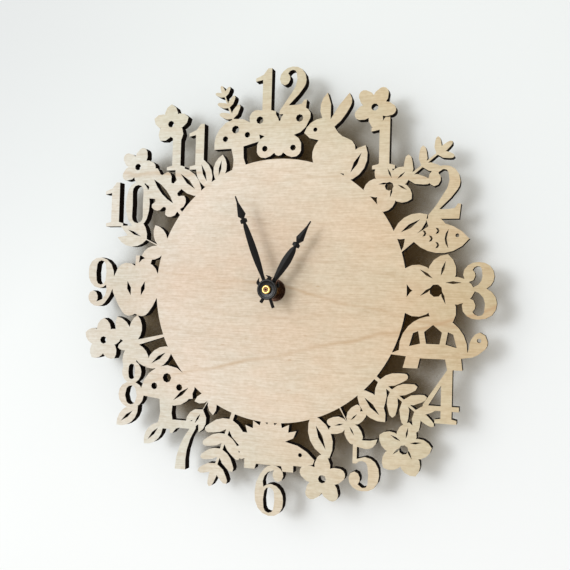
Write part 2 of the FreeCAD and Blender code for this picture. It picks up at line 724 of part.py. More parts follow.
def fifth_wheel():
    return train_wheel(fifth_place, FIFTH_TEETH, FIFTH_MODULE, ROTOR_ANGLE, fifth_wheel_y,
                       SECOND_MODULE, facing_gap(FIFTH_ANGLE, TRAIN_PINION_TEETH),
                       second_wheel_y)


def third_wheel():
    return train_wheel(third_place, THIRD_TEETH, third_module, THIRD_ANGLE + 180, third_wheel_y,
                       CENTRE_MODULE, facing_gap(THIRD_ANGLE, TRAIN_PINION_TEETH),
                       centre_wheel_y)


def second_wheel():
    """Seconds wheel: it turns once a minute, with its front bearing inside the minute tube."""
    start = third_wheel_y - PINION_OVERHANG
    driven = wheel(AXIS, SECOND_TEETH, SECOND_MODULE, FIFTH_ANGLE, second_wheel_y)
    phase = facing_gap(THIRD_ANGLE + 180, TRAIN_PINION_TEETH)
    driver = pinion(AXIS, TRAIN_PINION_TEETH, third_module, phase, start, second_wheel_y)
    arbor = cylinder(AXIS, SECOND_ARBOR_RADIUS, start - SECOND_ARBOR_REACH,
                     cover_inner_y + ARBOR_SEAT)
    return joined([driven, driver, arbor])


def centre_wheel():
    """Hour-long wheel: it slips on the minute tube when the hands are set."""
    driven = wheel(AXIS, CENTRE_TEETH, CENTRE_MODULE, THIRD_ANGLE, centre_wheel_y)
    hole = cylinder(AXIS, MINUTE_TUBE_RADIUS + RUNNING_CLEARANCE, centre_wheel_y - OVERRUN,
                    centre_wheel_y + WHEEL_THICKNESS + OVERRUN)
    return driven.cut(hole)


# Motion work: minute tube, minute wheel with its setting knob, and hour wheel


def minute_arbor():
    start = minute_wheel_y - PINION_OVERHANG / 2
    end = minute_wheel_y + WHEEL_THICKNESS + PINION_OVERHANG / 2
    phase = facing_gap(MINUTE_WHEEL_ANGLE + 180, CANNON_TEETH)
    teeth = pinion(AXIS, CANNON_TEETH, MOTION_MODULE, phase, start, end)
    tube = cylinder(AXIS, MINUTE_TUBE_RADIUS, minute_tube_end_y,
                    centre_wheel_y + WHEEL_THICKNESS + FLANGE_GAP)
    bore = cylinder(AXIS, MINUTE_TUBE_BORE, minute_tube_end_y - OVERRUN, 0)
    return joined([tube, teeth]).cut(bore)


def minute_wheel():
    teeth = wheel(minute_place, MINUTE_WHEEL_TEETH, MOTION_MODULE, MINUTE_WHEEL_ANGLE + 180,
                  minute_wheel_y)
    phase = facing_gap(MINUTE_WHEEL_ANGLE, MINUTE_PINION_TEETH)
    driver = pinion(minute_place, MINUTE_PINION_TEETH, hour_module, phase, hour_wheel_y,
                    minute_wheel_y)
    stem = cylinder(minute_place, SETTING_STEM_RADIUS, inner_face_y - ARBOR_SEAT + JOIN, -KNOB_GAP)
    return joined([teeth, driver, stem])


def setting_knob():
    """Ridged knob that stands on the minute wheel's stem inside its cup."""
    points = []
    for index in range(2 * KNOB_RIDGES):
        reach = KNOB_RADIUS - KNOB_RIDGE_DEPTH * (index % 2)
        points.append(list(stepped_away(minute_place, reach, index * 180 / KNOB_RIDGES)))
    knob = lifted(outline_face(points), -KNOB_GAP - KNOB_THICKNESS, KNOB_THICKNESS)
    return knob.cut(cylinder(minute_place, SETTING_STEM_RADIUS, -KNOB_THICKNESS - OVERRUN, OVERRUN))


def hour_wheel():
    phase = MINUTE_WHEEL_ANGLE
    teeth = wheel(AXIS, HOUR_WHEEL_TEETH, hour_module, phase, hour_wheel_y, HOUR_WHEEL_THICKNESS)
    tube = cylinder(AXIS, HOUR_TUBE_RADIUS, hour_tube_end_y, hour_wheel_y + HOUR_WHEEL_THICKNESS)
    bore = cylinder(AXIS, MINUTE_TUBE_RADIUS + RUNNING_CLEARANCE, hour_tube_end_y - OVERRUN, 0)
    return joined([teeth, tube]).cut(bore)


# Fastening: bushing, hanger, washers and nut


def threaded_bushing():
    whole = joined([cylinder(AXIS, BUSHING_RADIUS, bushing_end_y, inner_face_y + JOIN),
                    block_at(AXIS, FLANGE_HALF, inner_face_y, flange_back_y)])
    return whole.cut(cylinder(AXIS, HOUR_TUBE_RADIUS + RUNNING_CLEARANCE, bushing_end_y - OVERRUN, 0))


def hanger_plate():
    """Sheet strip under the washer that bends back over the case to a tab with the nail hole."""
    half = HANGER_THICKNESS / 2
    front = case_face_y - half
    over = case_top + HANGER_BEND_RADIUS + HANGER_TOP_GAP + half
    back = -HANGER_WALL_GAP - half
    path = [(front, -HANGER_DROP), (front, over), (back, over), (back, over + HANGER_RISE)]
    face = strip_face(path, HANGER_THICKNESS, HANGER_BEND_RADIUS, side_on)
    face.translate(FreeCAD.Vector(-HANGER_WIDTH / 2, 0, 0))
    strip = face.extrude(FreeCAD.Vector(HANGER_WIDTH, 0, 0))
    nail_place = (0, over + HANGER_RISE - NAIL_HOLE_DROP)
    holes = [cylinder(AXIS, BUSHING_RADIUS, case_face_y - OVERRUN - HANGER_THICKNESS,
                      case_face_y + OVERRUN),
             cylinder(nail_place, NAIL_HOLE_RADIUS, -HANGER_WALL_GAP - HANGER_THICKNESS - OVERRUN,
                      OVERRUN)]
    return strip.cut(holes)


def brass_washer():
    return turned(AXIS, [(brass_face_y, panel_front_y, BRASS_WASHER_RADIUS)], BUSHING_RADIUS)


def hex_nut():
    corner = NUT_ACROSS_FLATS / 2 / math.cos(math.pi / 6)
    points = []
    for index in range(6):
        turn = index * math.pi / 3
        points.append([corner * math.cos(turn), corner * math.sin(turn)])
    prism = lifted(outline_face(points), nut_face_y, NUT_THICKNESS)
    blank = turned(AXIS, [(nut_face_y, brass_face_y, corner + JOIN)])
    blank = blank.makeChamfer(NUT_CHAMFER, [line for line in blank.Edges
                                            if line.BoundBox.YLength < JOIN
                                            and line.BoundBox.YMin < nut_face_y + JOIN])
    bore = cylinder(AXIS, BUSHING_RADIUS, nut_face_y - OVERRUN, brass_face_y + OVERRUN)
    return prism.common(blank).cut(bore)


# Hands. A blade is drawn pointing up: places along it are shares of its length from the axis,
# and half widths are shares of half its greatest width.

minute_blade_shares = (
    [0.08, 0.40], [0.15, 0.44], (0.29, 0.74), (0.45, 0.82), (0.66, 0.56), [0.705, 0.34],
    [0.712, 0.84], [0.745, 0.84], [0.755, 0.34], (0.786, 1.0), (0.87, 0.52), [0.96, 0.16])
hour_blade_shares = (
    [0.09, 0.46], [0.17, 0.50], (0.28, 0.80), (0.43, 1.0), (0.57, 0.72), [0.628, 0.32],
    [0.634, 0.84], [0.672, 0.84], [0.684, 0.32], (0.735, 0.84), (0.85, 0.42), [0.955, 0.15])
tail_width_share = 0.36


def blade(shares, length, width, tail):
    """Blade from its tip down one side, across the tail and up the other side."""
    half = width / 2
    right = [type(point)((point[1] * half, point[0] * length)) for point in reversed(shares)]
    left = [type(point)((-point[1] * half, point[0] * length)) for point in shares]
    foot = tail_width_share * half
    return [[0, length]] + right + [[foot, 0], [foot, -tail], [-foot, -tail], [-foot, 0]] + left


def horns(hub_radius):
    """Two small curled points that stand on the hub beside the blade."""
    pieces = []
    for side in (1, -1):
        root = (side * hub_radius / 3, hub_radius * 3 / 4)
        tip = (side * (hub_radius / 3 + HORN_WIDTH), hub_radius * 3 / 4 + HORN_LENGTH)
        belly = (side * (hub_radius / 3 + HORN_WIDTH * 2), hub_radius * 3 / 4 + HORN_LENGTH / 3)
        pieces.append(outline_face([[root[0], root[1]], [tip[0], tip[1]], (belly[0], belly[1]),
                                    [side * (hub_radius / 3 + HORN_WIDTH * 2), hub_radius / 3]]))
    return pieces


def hand(blade_points, hub_radius, front_y, bore, turn):
    """Sheet hand on a thicker hub that grips its tube."""
    sheet = [lifted(face, front_y, HAND_THICKNESS)
             for face in [outline_face(blade_points, upright, HAND_ALLOWANCE)] + horns(hub_radius)]
    back_y = front_y + HAND_THICKNESS + HUB_DEPTH
    hub = cylinder(AXIS, hub_radius, front_y - HUB_RISE, back_y)
    whole = joined(sheet + [hub]).cut(cylinder(AXIS, bore, front_y - OVERRUN, back_y + OVERRUN))
    whole.rotate(FreeCAD.Vector(0, 0, 0), FreeCAD.Vector(0, 1, 0), turn)
    return whole


def minute_hand():
    points = blade(minute_blade_shares, MINUTE_HAND_LENGTH, MINUTE_HAND_WIDTH, MINUTE_HAND_TAIL)
    return hand(points, MINUTE_HUB_RADIUS, minute_hand_front_y, MINUTE_TUBE_RADIUS, MINUTE_HAND_ANGLE)


def hour_hand():
    points = blade(hour_blade_shares, HOUR_HAND_LENGTH, HOUR_HAND_WIDTH, HOUR_HAND_TAIL)
    return hand(points, HOUR_HUB_RADIUS, hour_hand_front_y, HOUR_TUBE_RADIUS, HOUR_HAND_ANGLE)


def hand_nut():
    return turned(AXIS, [(hand_nut_front_y, hand_nut_back_y, HAND_NUT_RADIUS)], MINUTE_TUBE_RADIUS)


# Fretwork panel. The layout is drawn with the disc's radius as 1, and everything in it is a
# share of that. Figures start from the middle of their foot, with their height as 1.

RING_SHARE = 0.7

leaf_shares = ([0, 0], (0.25, 0.5), [0, 1], (-0.25, 0.5))
vein_shares = ([0, 0.24], (0.05, 0.5), [0, 0.80], (-0.05, 0.5))
narrow_leaf_shares = ([0, 0], (0.15, 0.5), [0, 1], (-0.15, 0.5))
petal_shares = ([0, 0], (0.36, 0.56), [0, 1], (-0.36, 0.56))
round_petal_shares = ([0, 0], (0.33, 0.62), (0, 1), (-0.33, 0.62))
lobe_shares = ([-0.10, 0], (-0.17, 0.72), (0, 1), (0.17, 0.72), [0.10, 0])
heart_shares = ([0, 0], (0.40, 0.62), (0.20, 0.98), [0, 0.82], (-0.20, 0.98), (-0.40, 0.62))
oval_shares = ((0, 1), (1, 0), (0, -1), (-1, 0))

digit_shares = {
    "0": [((0.30, 1.0), (0.60, 0.5), (0.30, 0.0), (0.0, 0.5)),
          ((0.30, 0.93), (0.43, 0.5), (0.30, 0.07), (0.17, 0.5))],
    "1": [([0.06, 0.0], [0.50, 0.0], [0.50, 0.07], [0.39, 0.10], [0.39, 1.0], [0.30, 1.0],
           (0.20, 0.87), [0.03, 0.80], [0.03, 0.73], [0.19, 0.76], [0.19, 0.10], [0.06, 0.07])],
    "2": [([0.02, 0.0], [0.59, 0.0], [0.62, 0.28], [0.56, 0.28], (0.51, 0.20), [0.40, 0.18],
           [0.22, 0.18], (0.44, 0.40), (0.60, 0.70), (0.50, 0.93), (0.29, 1.0), (0.09, 0.92),
           (0.01, 0.75), (0.12, 0.61), (0.24, 0.72), [0.19, 0.86], (0.29, 0.93), (0.40, 0.72),
           (0.28, 0.44), [0.02, 0.07])],
    "3": [([0.18, 0.86], (0.26, 0.93), (0.35, 0.76), [0.20, 0.56], [0.20, 0.50], (0.40, 0.28),
           (0.29, 0.06), [0.19, 0.13], (0.24, 0.25), (0.12, 0.37), (0.01, 0.24), (0.10, 0.05),
           (0.29, 0.0), (0.52, 0.08), (0.60, 0.29), [0.42, 0.54], (0.55, 0.76), (0.47, 0.94),
           (0.28, 1.0), (0.10, 0.94), (0.02, 0.77), (0.12, 0.65), (0.23, 0.76))],
    "4": [([0.22, 0.0], [0.62, 0.0], [0.62, 0.07], [0.53, 0.09], [0.53, 0.23], [0.66, 0.23],
           [0.66, 0.32], [0.53, 0.32], [0.53, 1.0], [0.44, 1.0], [0.0, 0.33], [0.0, 0.23],
           [0.33, 0.23], [0.33, 0.09], [0.22, 0.07]),
          ([0.33, 0.32], [0.33, 0.70], [0.10, 0.32])],
    "5": [([0.08, 1.0], (0.28, 0.96), [0.55, 1.0], (0.46, 0.84), (0.34, 0.80), [0.16, 0.83],
           [0.16, 0.60], (0.32, 0.65), (0.52, 0.56), (0.60, 0.32), (0.50, 0.07), (0.28, 0.0),
           (0.09, 0.06), (0.01, 0.23), (0.12, 0.36), (0.23, 0.25), [0.19, 0.12], (0.28, 0.06),
           (0.39, 0.32), (0.27, 0.57), [0.15, 0.51], [0.08, 0.51])],
    "6": [((0.30, 0.0), (0.07, 0.14), (0.0, 0.44), (0.10, 0.80), (0.34, 1.0), (0.53, 0.94),
           (0.59, 0.80), (0.48, 0.68), (0.37, 0.79), [0.40, 0.91], (0.27, 0.86), [0.18, 0.56],
           (0.34, 0.63), (0.54, 0.52), (0.60, 0.31), (0.53, 0.08)),
          ((0.31, 0.56), (0.42, 0.31), (0.30, 0.06), (0.18, 0.31))],
    "7": [([0.02, 0.72], [0.08, 0.72], (0.16, 0.82), [0.30, 0.84], [0.47, 0.84], (0.26, 0.48),
           [0.16, 0.0], [0.40, 0.0], (0.42, 0.40), [0.61, 0.86], [0.61, 1.0], [0.10, 1.0],
           [0.02, 0.99])],
    "8": [((0.30, 1.0), (0.53, 0.77), [0.40, 0.54], (0.60, 0.27), (0.30, 0.0), (0.0, 0.27),
           [0.20, 0.54], (0.07, 0.77)),
          ((0.30, 0.93), (0.38, 0.76), (0.30, 0.60), (0.22, 0.76)),
          ((0.30, 0.47), (0.44, 0.26), (0.30, 0.07), (0.16, 0.26))]}
digit_width_share = 0.61
digit_step_share = 0.56

rabbit_shares = (
    [-0.34, 0.0], [0.30, 0.0], (0.42, 0.05), (0.40, 0.17), [0.32, 0.16], (0.31, 0.36),
    (0.08, 0.50), [0.02, 0.57], (0.15, 0.74), (0.20, 0.93), [0.16, 1.0], (0.05, 0.84),
    [-0.04, 0.66], (-0.06, 0.85), [-0.12, 0.99], (-0.19, 0.84), [-0.15, 0.67], (-0.29, 0.60),
    [-0.36, 0.47], (-0.28, 0.41), [-0.16, 0.39], (-0.22, 0.24), [-0.19, 0.10], [-0.30, 0.07])
hedgehog_face_shares = (
    [0.20, 0.40], (0.38, 0.36), [0.62, 0.19], [0.60, 0.13], (0.44, 0.09), [0.33, 0.09],
    [0.33, 0.0], [0.18, 0.0], [0.16, 0.07], [-0.20, 0.07], [-0.22, 0.0], [-0.37, 0.0], [-0.37, 0.12],
    [-0.30, 0.30])
turtle_shares = (
    [-0.46, 0.14], (-0.34, 0.47), (0, 0.62), (0.34, 0.47), [0.46, 0.14], [0.60, 0.08], [0.36, 0.06],
    [0.40, -0.10], [0.20, -0.10], [0.17, 0.04], [-0.17, 0.04], [-0.20, -0.10], [-0.40, -0.10],
    [-0.38, 0.06], [-0.44, 0.07], (-0.60, 0.12), (-0.72, 0.30), (-0.62, 0.42), (-0.51, 0.33),
    [-0.48, 0.20])
fish_shares = (
    [-0.50, 0.0], (-0.26, 0.19), [-0.14, 0.23], (0.0, 0.33), [0.16, 0.30], [0.12, 0.19],
    [0.34, 0.05], [0.56, 0.24], (0.48, 0.0), [0.56, -0.24], [0.34, -0.05], (0.0, -0.22),
    (-0.26, -0.19))
mushroom_shares = (
    [-0.46, 0.50], (-0.32, 0.86), (0, 1.0), (0.32, 0.86), [0.46, 0.50], [0.12, 0.46],
    (0.10, 0.25), [0.18, 0.0], [-0.18, 0.0], (-0.10, 0.25), [-0.12, 0.46])
oak_leaf_side_shares = (
    [0.03, 0.0], [0.03, 0.13], (0.17, 0.14), (0.22, 0.24), (0.14, 0.32), (0.28, 0.38),
    (0.32, 0.49), (0.19, 0.55), (0.26, 0.63), (0.26, 0.73), (0.15, 0.76), (0.16, 0.90))
tulip_shares = ([0, 0.44], (0.17, 0.55), [0.20, 0.96], [0.09, 0.80], [0, 1.0], [-0.09, 0.80],
                [-0.20, 0.96], (-0.17, 0.55))
wing_shares = ([0.02, 0.10], (0.30, 0.50), (0.54, 0.48), (0.50, 0.16), [0.28, 0.03],
               (0.42, -0.12), (0.34, -0.36), (0.16, -0.34), [0.02, -0.10])
apple_shares = (
    [0, 0.86], (0.22, 0.93), (0.46, 0.66), (0.34, 0.18), (0.14, 0.0), [0, 0.04], (-0.14, 0.0),
    (-0.34, 0.18), (-0.46, 0.66), (-0.22, 0.93))
stem_shares = ([-0.025, 0.0], [0.025, 0.0], [0.012, 1.0], [-0.012, 1.0])


def ring_point(x, z):
    """Real place of a point of the layout: the disc and the ring are sized on their own."""
    reach = math.hypot(x, z)
    if reach <= 1:
        scale = DISC_RADIUS
    else:
        scale = (DISC_RADIUS + (reach - 1) / RING_SHARE * RING_WIDTH) / reach
    return x * scale, z * scale


def set_down(points, place):
    """Points of a figure, placed by clock angle, distance, size, turn clockwise and side."""
    angle, reach, size, turn, side = place
    x = reach * math.sin(math.radians(angle))
    z = reach * math.cos(math.radians(angle))
    across_turn = math.cos(math.radians(turn))
    along_turn = math.sin(math.radians(turn))
    placed = []
    for point in points:
        u = side * point[0] * size
        v = point[1] * size
        spot = ring_point(x + u * across_turn + v * along_turn, z - u * along_turn + v * across_turn)
        placed.append(type(point)(spot))
    return placed


def figure(points, place):
    """Flat face of a figure in its place, always drawn anticlockwise."""
    spots = set_down(points, place)
    turning = sum(spot[0] * spots[index - 1][1] - spot[1] * spots[index - 1][0]
                  for index, spot in enumerate(spots))
    return outline_face(spots if turning < 0 else spots[::-1])


def both_sides(side_shares, tip_shares=()):
    """Outline of a figure that is the same on both sides, from its right side."""
    left = [type(point)((-point[0], point[1])) for point in reversed(side_shares)]
    return list(side_shares) + list(tip_shares) + left


def moved(points, u, v, scale=1, turn=0):
    """Points of a piece inside a figure, turned clockwise, scaled and shifted."""
    across_turn = math.cos(math.radians(turn))
    along_turn = math.sin(math.radians(turn))
    return [type(point)((u + scale * (point[0] * across_turn + point[1] * along_turn),
                         v + scale * (point[1] * across_turn - point[0] * along_turn)))
            for point in points]


def round_hole(u, v, size):
    return moved(oval_shares, u, v, size)


class Fretwork:
    """The faces that the layout adds to the disc, and the ones that it cuts away."""

    def __init__(self):
        self.added = []
        self.cut = []

    def add(self, place, *outlines):
        self.added += [figure(points, place) for points in outlines]

    def pierce(self, place, *outlines):
        self.cut += [figure(points, place) for points in outlines]

    def numeral(self, text, place):
        """Digits side by side, centred on their place: the first outline of a digit adds, the rest cut."""
        left = -(digit_width_share + digit_step_share * (len(text) - 1)) / 2
        for index, digit in enumerate(text):
            shapes = digit_shares["6" if digit == "9" else digit]
            for count, points in enumerate(shapes):
                if digit == "9":
                    points = moved(points, digit_width_share, 1, 1, 180)
                points = moved(points, left + index * digit_step_share, -0.5)
                if count == 0:
                    self.add(place, points)
                else:
                    self.pierce(place, points)

    def flower(self, place, petals=5, pointed=True):
        kind = petal_shares if pointed else round_petal_shares
        for index in range(petals):
            self.add(place, moved(kind, 0, 0, 1, index * 360 / petals))
        self.add(place, round_hole(0, 0, 0.3))
        self.pierce(place, round_hole(0, 0, 0.17))
        if pointed and place[2] > 0.18:
            for index in range(petals):
                self.pierce(place, moved(vein_shares, 0, 0.22, 0.75, index * 360 / petals))

    def sprig(self, place, pairs=4):
        self.add(place, stem_shares)
        for index in range(pairs):
            foot = 0.16 + 0.58 * index / max(pairs - 1, 1)
            reach = 0.36 - 0.10 * index / max(pairs - 1, 1)
            for turn in (52, -52):
                self.add(place, moved(lobe_shares, 0, foot, reach, turn))
        self.add(place, moved(lobe_shares, 0, 0.78, 0.24))

    def leaves(self, *places):
        for place in places:
            self.add(place, leaf_shares)
            self.pierce(place, vein_shares)

    def rabbit(self, place):
        self.add(place, rabbit_shares)
        self.pierce(place, round_hole(-0.22, 0.52, 0.028))

    def hedgehog(self, place, spines=11):
        """Spiny back as points round an arc, with the face and feet in front of it."""
        back = []
        for index in range(2 * spines + 1):
            turn = math.radians(200 - 165 * index / (2 * spines))
            reach = 0.46 if index % 2 else 0.37
            back.append([-0.02 + reach * 1.12 * math.cos(turn), 0.24 + reach * math.sin(turn)])
        self.add(place, back, hedgehog_face_shares)
        self.pierce(place, round_hole(0.42, 0.24, 0.028))

    def turtle(self, place):
        """Turtle with an eye and the plates of its shell cut through."""
        self.add(place, turtle_shares)
        self.pierce(place, round_hole(-0.61, 0.31, 0.03), [[-0.09, 0.24], [0.09, 0.24], [0.12, 0.40],
                                                           [0, 0.50], [-0.12, 0.40]])
        for side in (1, -1):
            self.pierce(place, [[side * 0.17, 0.24], [side * 0.32, 0.20], [side * 0.27, 0.38],
                                [side * 0.20, 0.41]])

    def fish(self, place):
        self.add(place, fish_shares)
        self.pierce(place, round_hole(-0.32, 0.05, 0.03))
        self.pierce(place, [[-0.19, 0.15], (-0.13, 0.0), [-0.19, -0.15], (-0.16, 0.0)])
        for u, v in ((-0.02, 0.12), (0.08, 0), (-0.02, -0.10), (0.18, 0.08)):
            self.pierce(place, [[u + 0.03, v + 0.05], (u - 0.03, v), [u + 0.03, v - 0.05], (u, v)])

    def mushroom(self, place):
        self.add(place, mushroom_shares)
        self.pierce(place, round_hole(0, 0.80, 0.075), round_hole(-0.22, 0.66, 0.055),
                    round_hole(0.22, 0.66, 0.055))

    def oak_leaf(self, place):
        self.add(place, both_sides(oak_leaf_side_shares, ((0, 1.0),)))
        self.pierce(place, moved(vein_shares, 0, 0.05, 0.95))

    def tulip(self, place):
        self.add(place, tulip_shares, moved(stem_shares, 0, 0, 0.5))
        self.add(place, moved(leaf_shares, 0, 0.04, 0.46, 38), moved(leaf_shares, 0, 0.04, 0.46, -38))
        self.pierce(place, moved(vein_shares, 0, 0.44, 0.5))

    def butterfly(self, place):
        for side in (1, -1):
            wings = [type(point)((side * point[0], point[1])) for point in wing_shares]
            self.add(place, wings)
            self.pierce(place, round_hole(side * 0.38, 0.33, 0.07),
                        round_hole(side * 0.27, -0.20, 0.055))
            self.add(place, moved(narrow_leaf_shares, 0, 0.14, 0.40, side * 24))
        self.add(place, [(0, 0.30), (0.06, 0), (0, -0.34), (-0.06, 0)])

    def dragonfly(self, place):
        self.add(place, [(0, 0.44), (0.07, 0.36), (0.045, 0), [0.02, -0.55], [-0.02, -0.55],
                         (-0.045, 0), (-0.07, 0.36)])
        for side in (1, -1):
            self.add(place, moved(leaf_shares, 0, 0.20, 0.55, side * 76))
            self.add(place, moved(leaf_shares, 0, 0.12, 0.50, side * 112))

    def apple(self, place):
        """Apple with its leaf, and with its core cut open round two seeds."""
        self.add(place, apple_shares, moved(leaf_shares, 0, 0.82, 0.36, 58),
                 [[-0.03, 0.8], [0.03, 0.8], [0.06, 1.06], [-0.02, 1.06]])
        for side in (1, -1):
            self.pierce(place, moved(narrow_leaf_shares, side * 0.10, 0.36, 0.26, side * 16))

    def clover(self, place):
        for turn in (-105, 0, 105):
            self.add(place, moved(heart_shares, 0, 0.48, 0.52, turn))
            self.pierce(place, moved(vein_shares, 0, 0.48, 0.42, turn))
        self.add(place, moved(stem_shares, 0, 0, 0.6))


def face_layout():
    """Numerals, figures, flowers and leaves round the disc, clockwise from the top."""
    work = Fretwork()
    work.numeral("12", (0, 1.52, 0.36, 0, 1))
    work.butterfly((0, 1.165, 0.42, 0, 1))
    work.rabbit((23.5, 0.965, 0.60, 6, 1))
    work.flower((28.5, 1.54, 0.16, 30, 1), 5, False)
    work.numeral("1", (37, 1.36, 0.38, 0, 1))
    work.flower((48, 1.15, 0.19, 48, 1))
    work.sprig((50, 1.22, 0.46, 51, 1), 3)
    work.numeral("2", (60, 1.44, 0.38, 0, 1))
    work.fish((72, 1.26, 0.46, 0, -1))
    work.flower((89, 1.205, 0.27, 17, 1))
    work.numeral("3", (89, 1.505, 0.40, 0, 1))
    work.turtle((112, 1.285, 0.52, 0, -1))
    work.numeral("4", (120, 1.44, 0.38, 0, 1))
    work.sprig((128, 0.96, 0.56, 127, 1))
    work.flower((138, 1.50, 0.20, 10, 1))
    work.clover((148, 0.98, 0.30, 150, 1))
    work.numeral("5", (150, 1.44, 0.38, 0, 1))
    work.flower((163.5, 1.44, 0.18, 0, 1), 5, False)
    work.hedgehog((180, 1.355, 0.56, 0, 1))
    work.numeral("6", (180, 1.505, 0.38, 0, 1))
    work.sprig((198, 0.97, 0.62, 198, 1))
    work.tulip((211, 0.95, 0.33, 211, 1))
    work.numeral("7", (211, 1.43, 0.38, 0, 1))
    work.mushroom((218.5, 1.42, 0.50, 0, 1))
    work.numeral("8", (237, 1.43, 0.38, 0, 1))
    work.leaves((230, 1.48, 0.25, 230, 1), (220.5, 1.40, 0.24, 222, 1))
    work.dragonfly((249, 1.22, 0.46, 255, 1))
    work.flower((253.5, 1.535, 0.18, 0, 1))
    work.apple((259, 1.21, 0.46, 0, 1))
    work.numeral("9", (271.5, 1.515, 0.40, 0, 1))
    work.tulip((288, 0.96, 0.48, 295, 1))
    work.numeral("10", (297.5, 1.46, 0.36, 0, 1))
    work.oak_leaf((306, 0.97, 0.50, 318, 1))
    work.flower((309, 1.55, 0.16, 20, 1), 5, False)
    work.leaves((319, 0.97, 0.32, 314, 1), (324, 0.97, 0.26, 340, 1), (329, 0.97, 0.22, 10, 1))
    work.numeral("11", (326, 1.35, 0.36, 0, 1))
    work.flower((325, 1.60, 0.16, 0, 1))
    work.mushroom((341, 0.96, 0.42, -8, 1))
    work.sprig((344, 1.34, 0.32, -22, 1), 3)
    for angle, size, lean in ((33, 0.30, -4), (66, 0.30, -10), (137, 0.30, 0), (161, 0.34, -6),
                              (221, 0.30, 10), (241, 0.28, -8)):
        work.leaves((angle, 0.97, size, angle + lean, 1))
    return work


def disc_face(radius):
    circle = Part.Circle(FreeCAD.Vector(0, 0, 0), FreeCAD.Vector(0, -1, 0), radius)
    return Part.Face(Part.Wire([circle.toShape()]))


def face_panel():
    work = face_layout()
    sheet = Part.Shell(disc_face(DISC_RADIUS).fuse(work.added).Faces).removeSplitter()
    sheet = sheet.cut([disc_face(BUSHING_RADIUS + PANEL_HOLE_CLEARANCE)] + work.cut)
    solids = [lifted(face, panel_front_y, PANEL_THICKNESS) for face in sheet.Faces]
    return solids[0] if len(solids) == 1 else Part.makeCompound(solids)


PIECES = {
    "face_panel": face_panel, "movement_case": movement_case, "movement_cover": movement_cover,
    "train_bridge": train_bridge, "threaded_bushing": threaded_bushing,
    "hanger_plate": hanger_plate, "brass_washer": brass_washer,
    "hex_nut": hex_nut, "battery": battery, "battery_contact_positive": battery_contact_positive,
    "battery_contact_negative": battery_contact_negative, "circuit_board": circuit_board,
    "chip": chip, "quartz_crystal": quartz_crystal, "stator": stator, "coil_core": coil_core,
    "coil_bobbin": coil_bobbin, "coil_winding": coil_winding, "rotor": rotor,
    "fifth_wheel": fifth_wheel, "second_wheel": second_wheel, "third_wheel": third_wheel,
    "centre_wheel": centre_wheel, "minute_arbor": minute_arbor, "minute_wheel": minute_wheel,
    "setting_knob": setting_knob, "hour_wheel": hour_wheel, "hour_hand": hour_hand,
    "minute_hand": minute_hand, "hand_nut": hand_nut}

os.makedirs("parts", exist_ok=True)
for name, build in PIECES.items():
    shape = build()
    shape.exportStep("parts/" + name + ".step")
    print(name, len(shape.Solids), shape.isValid(), round(shape.Volume, 1))
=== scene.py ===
import bmesh
import bpy
import json
import math
from mathutils import Matrix, Vector


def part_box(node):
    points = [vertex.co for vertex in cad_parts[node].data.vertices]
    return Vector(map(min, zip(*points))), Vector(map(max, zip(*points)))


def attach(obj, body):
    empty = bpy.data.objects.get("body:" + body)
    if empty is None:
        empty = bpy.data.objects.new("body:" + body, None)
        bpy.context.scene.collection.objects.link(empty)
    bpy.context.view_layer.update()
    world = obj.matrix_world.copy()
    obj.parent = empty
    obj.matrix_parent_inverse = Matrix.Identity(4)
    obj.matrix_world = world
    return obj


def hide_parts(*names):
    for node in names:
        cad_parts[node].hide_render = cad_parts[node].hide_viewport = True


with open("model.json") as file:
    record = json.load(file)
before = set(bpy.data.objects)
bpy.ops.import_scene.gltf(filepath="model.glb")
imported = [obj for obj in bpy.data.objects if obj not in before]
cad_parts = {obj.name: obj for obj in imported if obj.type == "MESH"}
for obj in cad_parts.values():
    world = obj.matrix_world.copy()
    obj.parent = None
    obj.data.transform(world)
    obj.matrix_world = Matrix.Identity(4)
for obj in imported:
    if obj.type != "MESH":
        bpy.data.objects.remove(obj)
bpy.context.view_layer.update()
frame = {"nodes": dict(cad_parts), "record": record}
nodes = frame["nodes"]
scene = bpy.context.scene
MM = 0.001
panel_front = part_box("face_panel")[0].y

# Camera, from the photograph: a little to the right of the clock and level with its middle
CAMERA_DISTANCE = 0.4747
CAMERA_PLACE = Vector((0.1674, panel_front - CAMERA_DISTANCE, -0.0097))
CAMERA_AIM = Vector((0.0071, panel_front, 0.0036))
CAMERA_ROLL = 1.598
CAMERA_SENSOR = 36.0
CAMERA_LENS = 47.75

camera_data = bpy.data.cameras.new("camera")
camera_data.sensor_width = CAMERA_SENSOR
camera_data.lens = CAMERA_LENS
camera = bpy.data.objects.new("camera", camera_data)
scene.collection.objects.link(camera)
looking = (CAMERA_AIM - CAMERA_PLACE).to_track_quat("-Z", "Y").to_matrix().to_4x4()
camera.matrix_world = (Matrix.Translation(CAMERA_PLACE) @ looking
                       @ Matrix.Rotation(math.radians(CAMERA_ROLL), 4, "Z"))
scene.camera = camera


# Node materials. The colour mix node has its sockets at these places.

MIX_FACTOR = 0
MIX_FIRST = 6
MIX_SECOND = 7
MIX_RESULT = 2
BLACK = (0.0, 0.0, 0.0)
WHITE = (1.0, 1.0, 1.0)


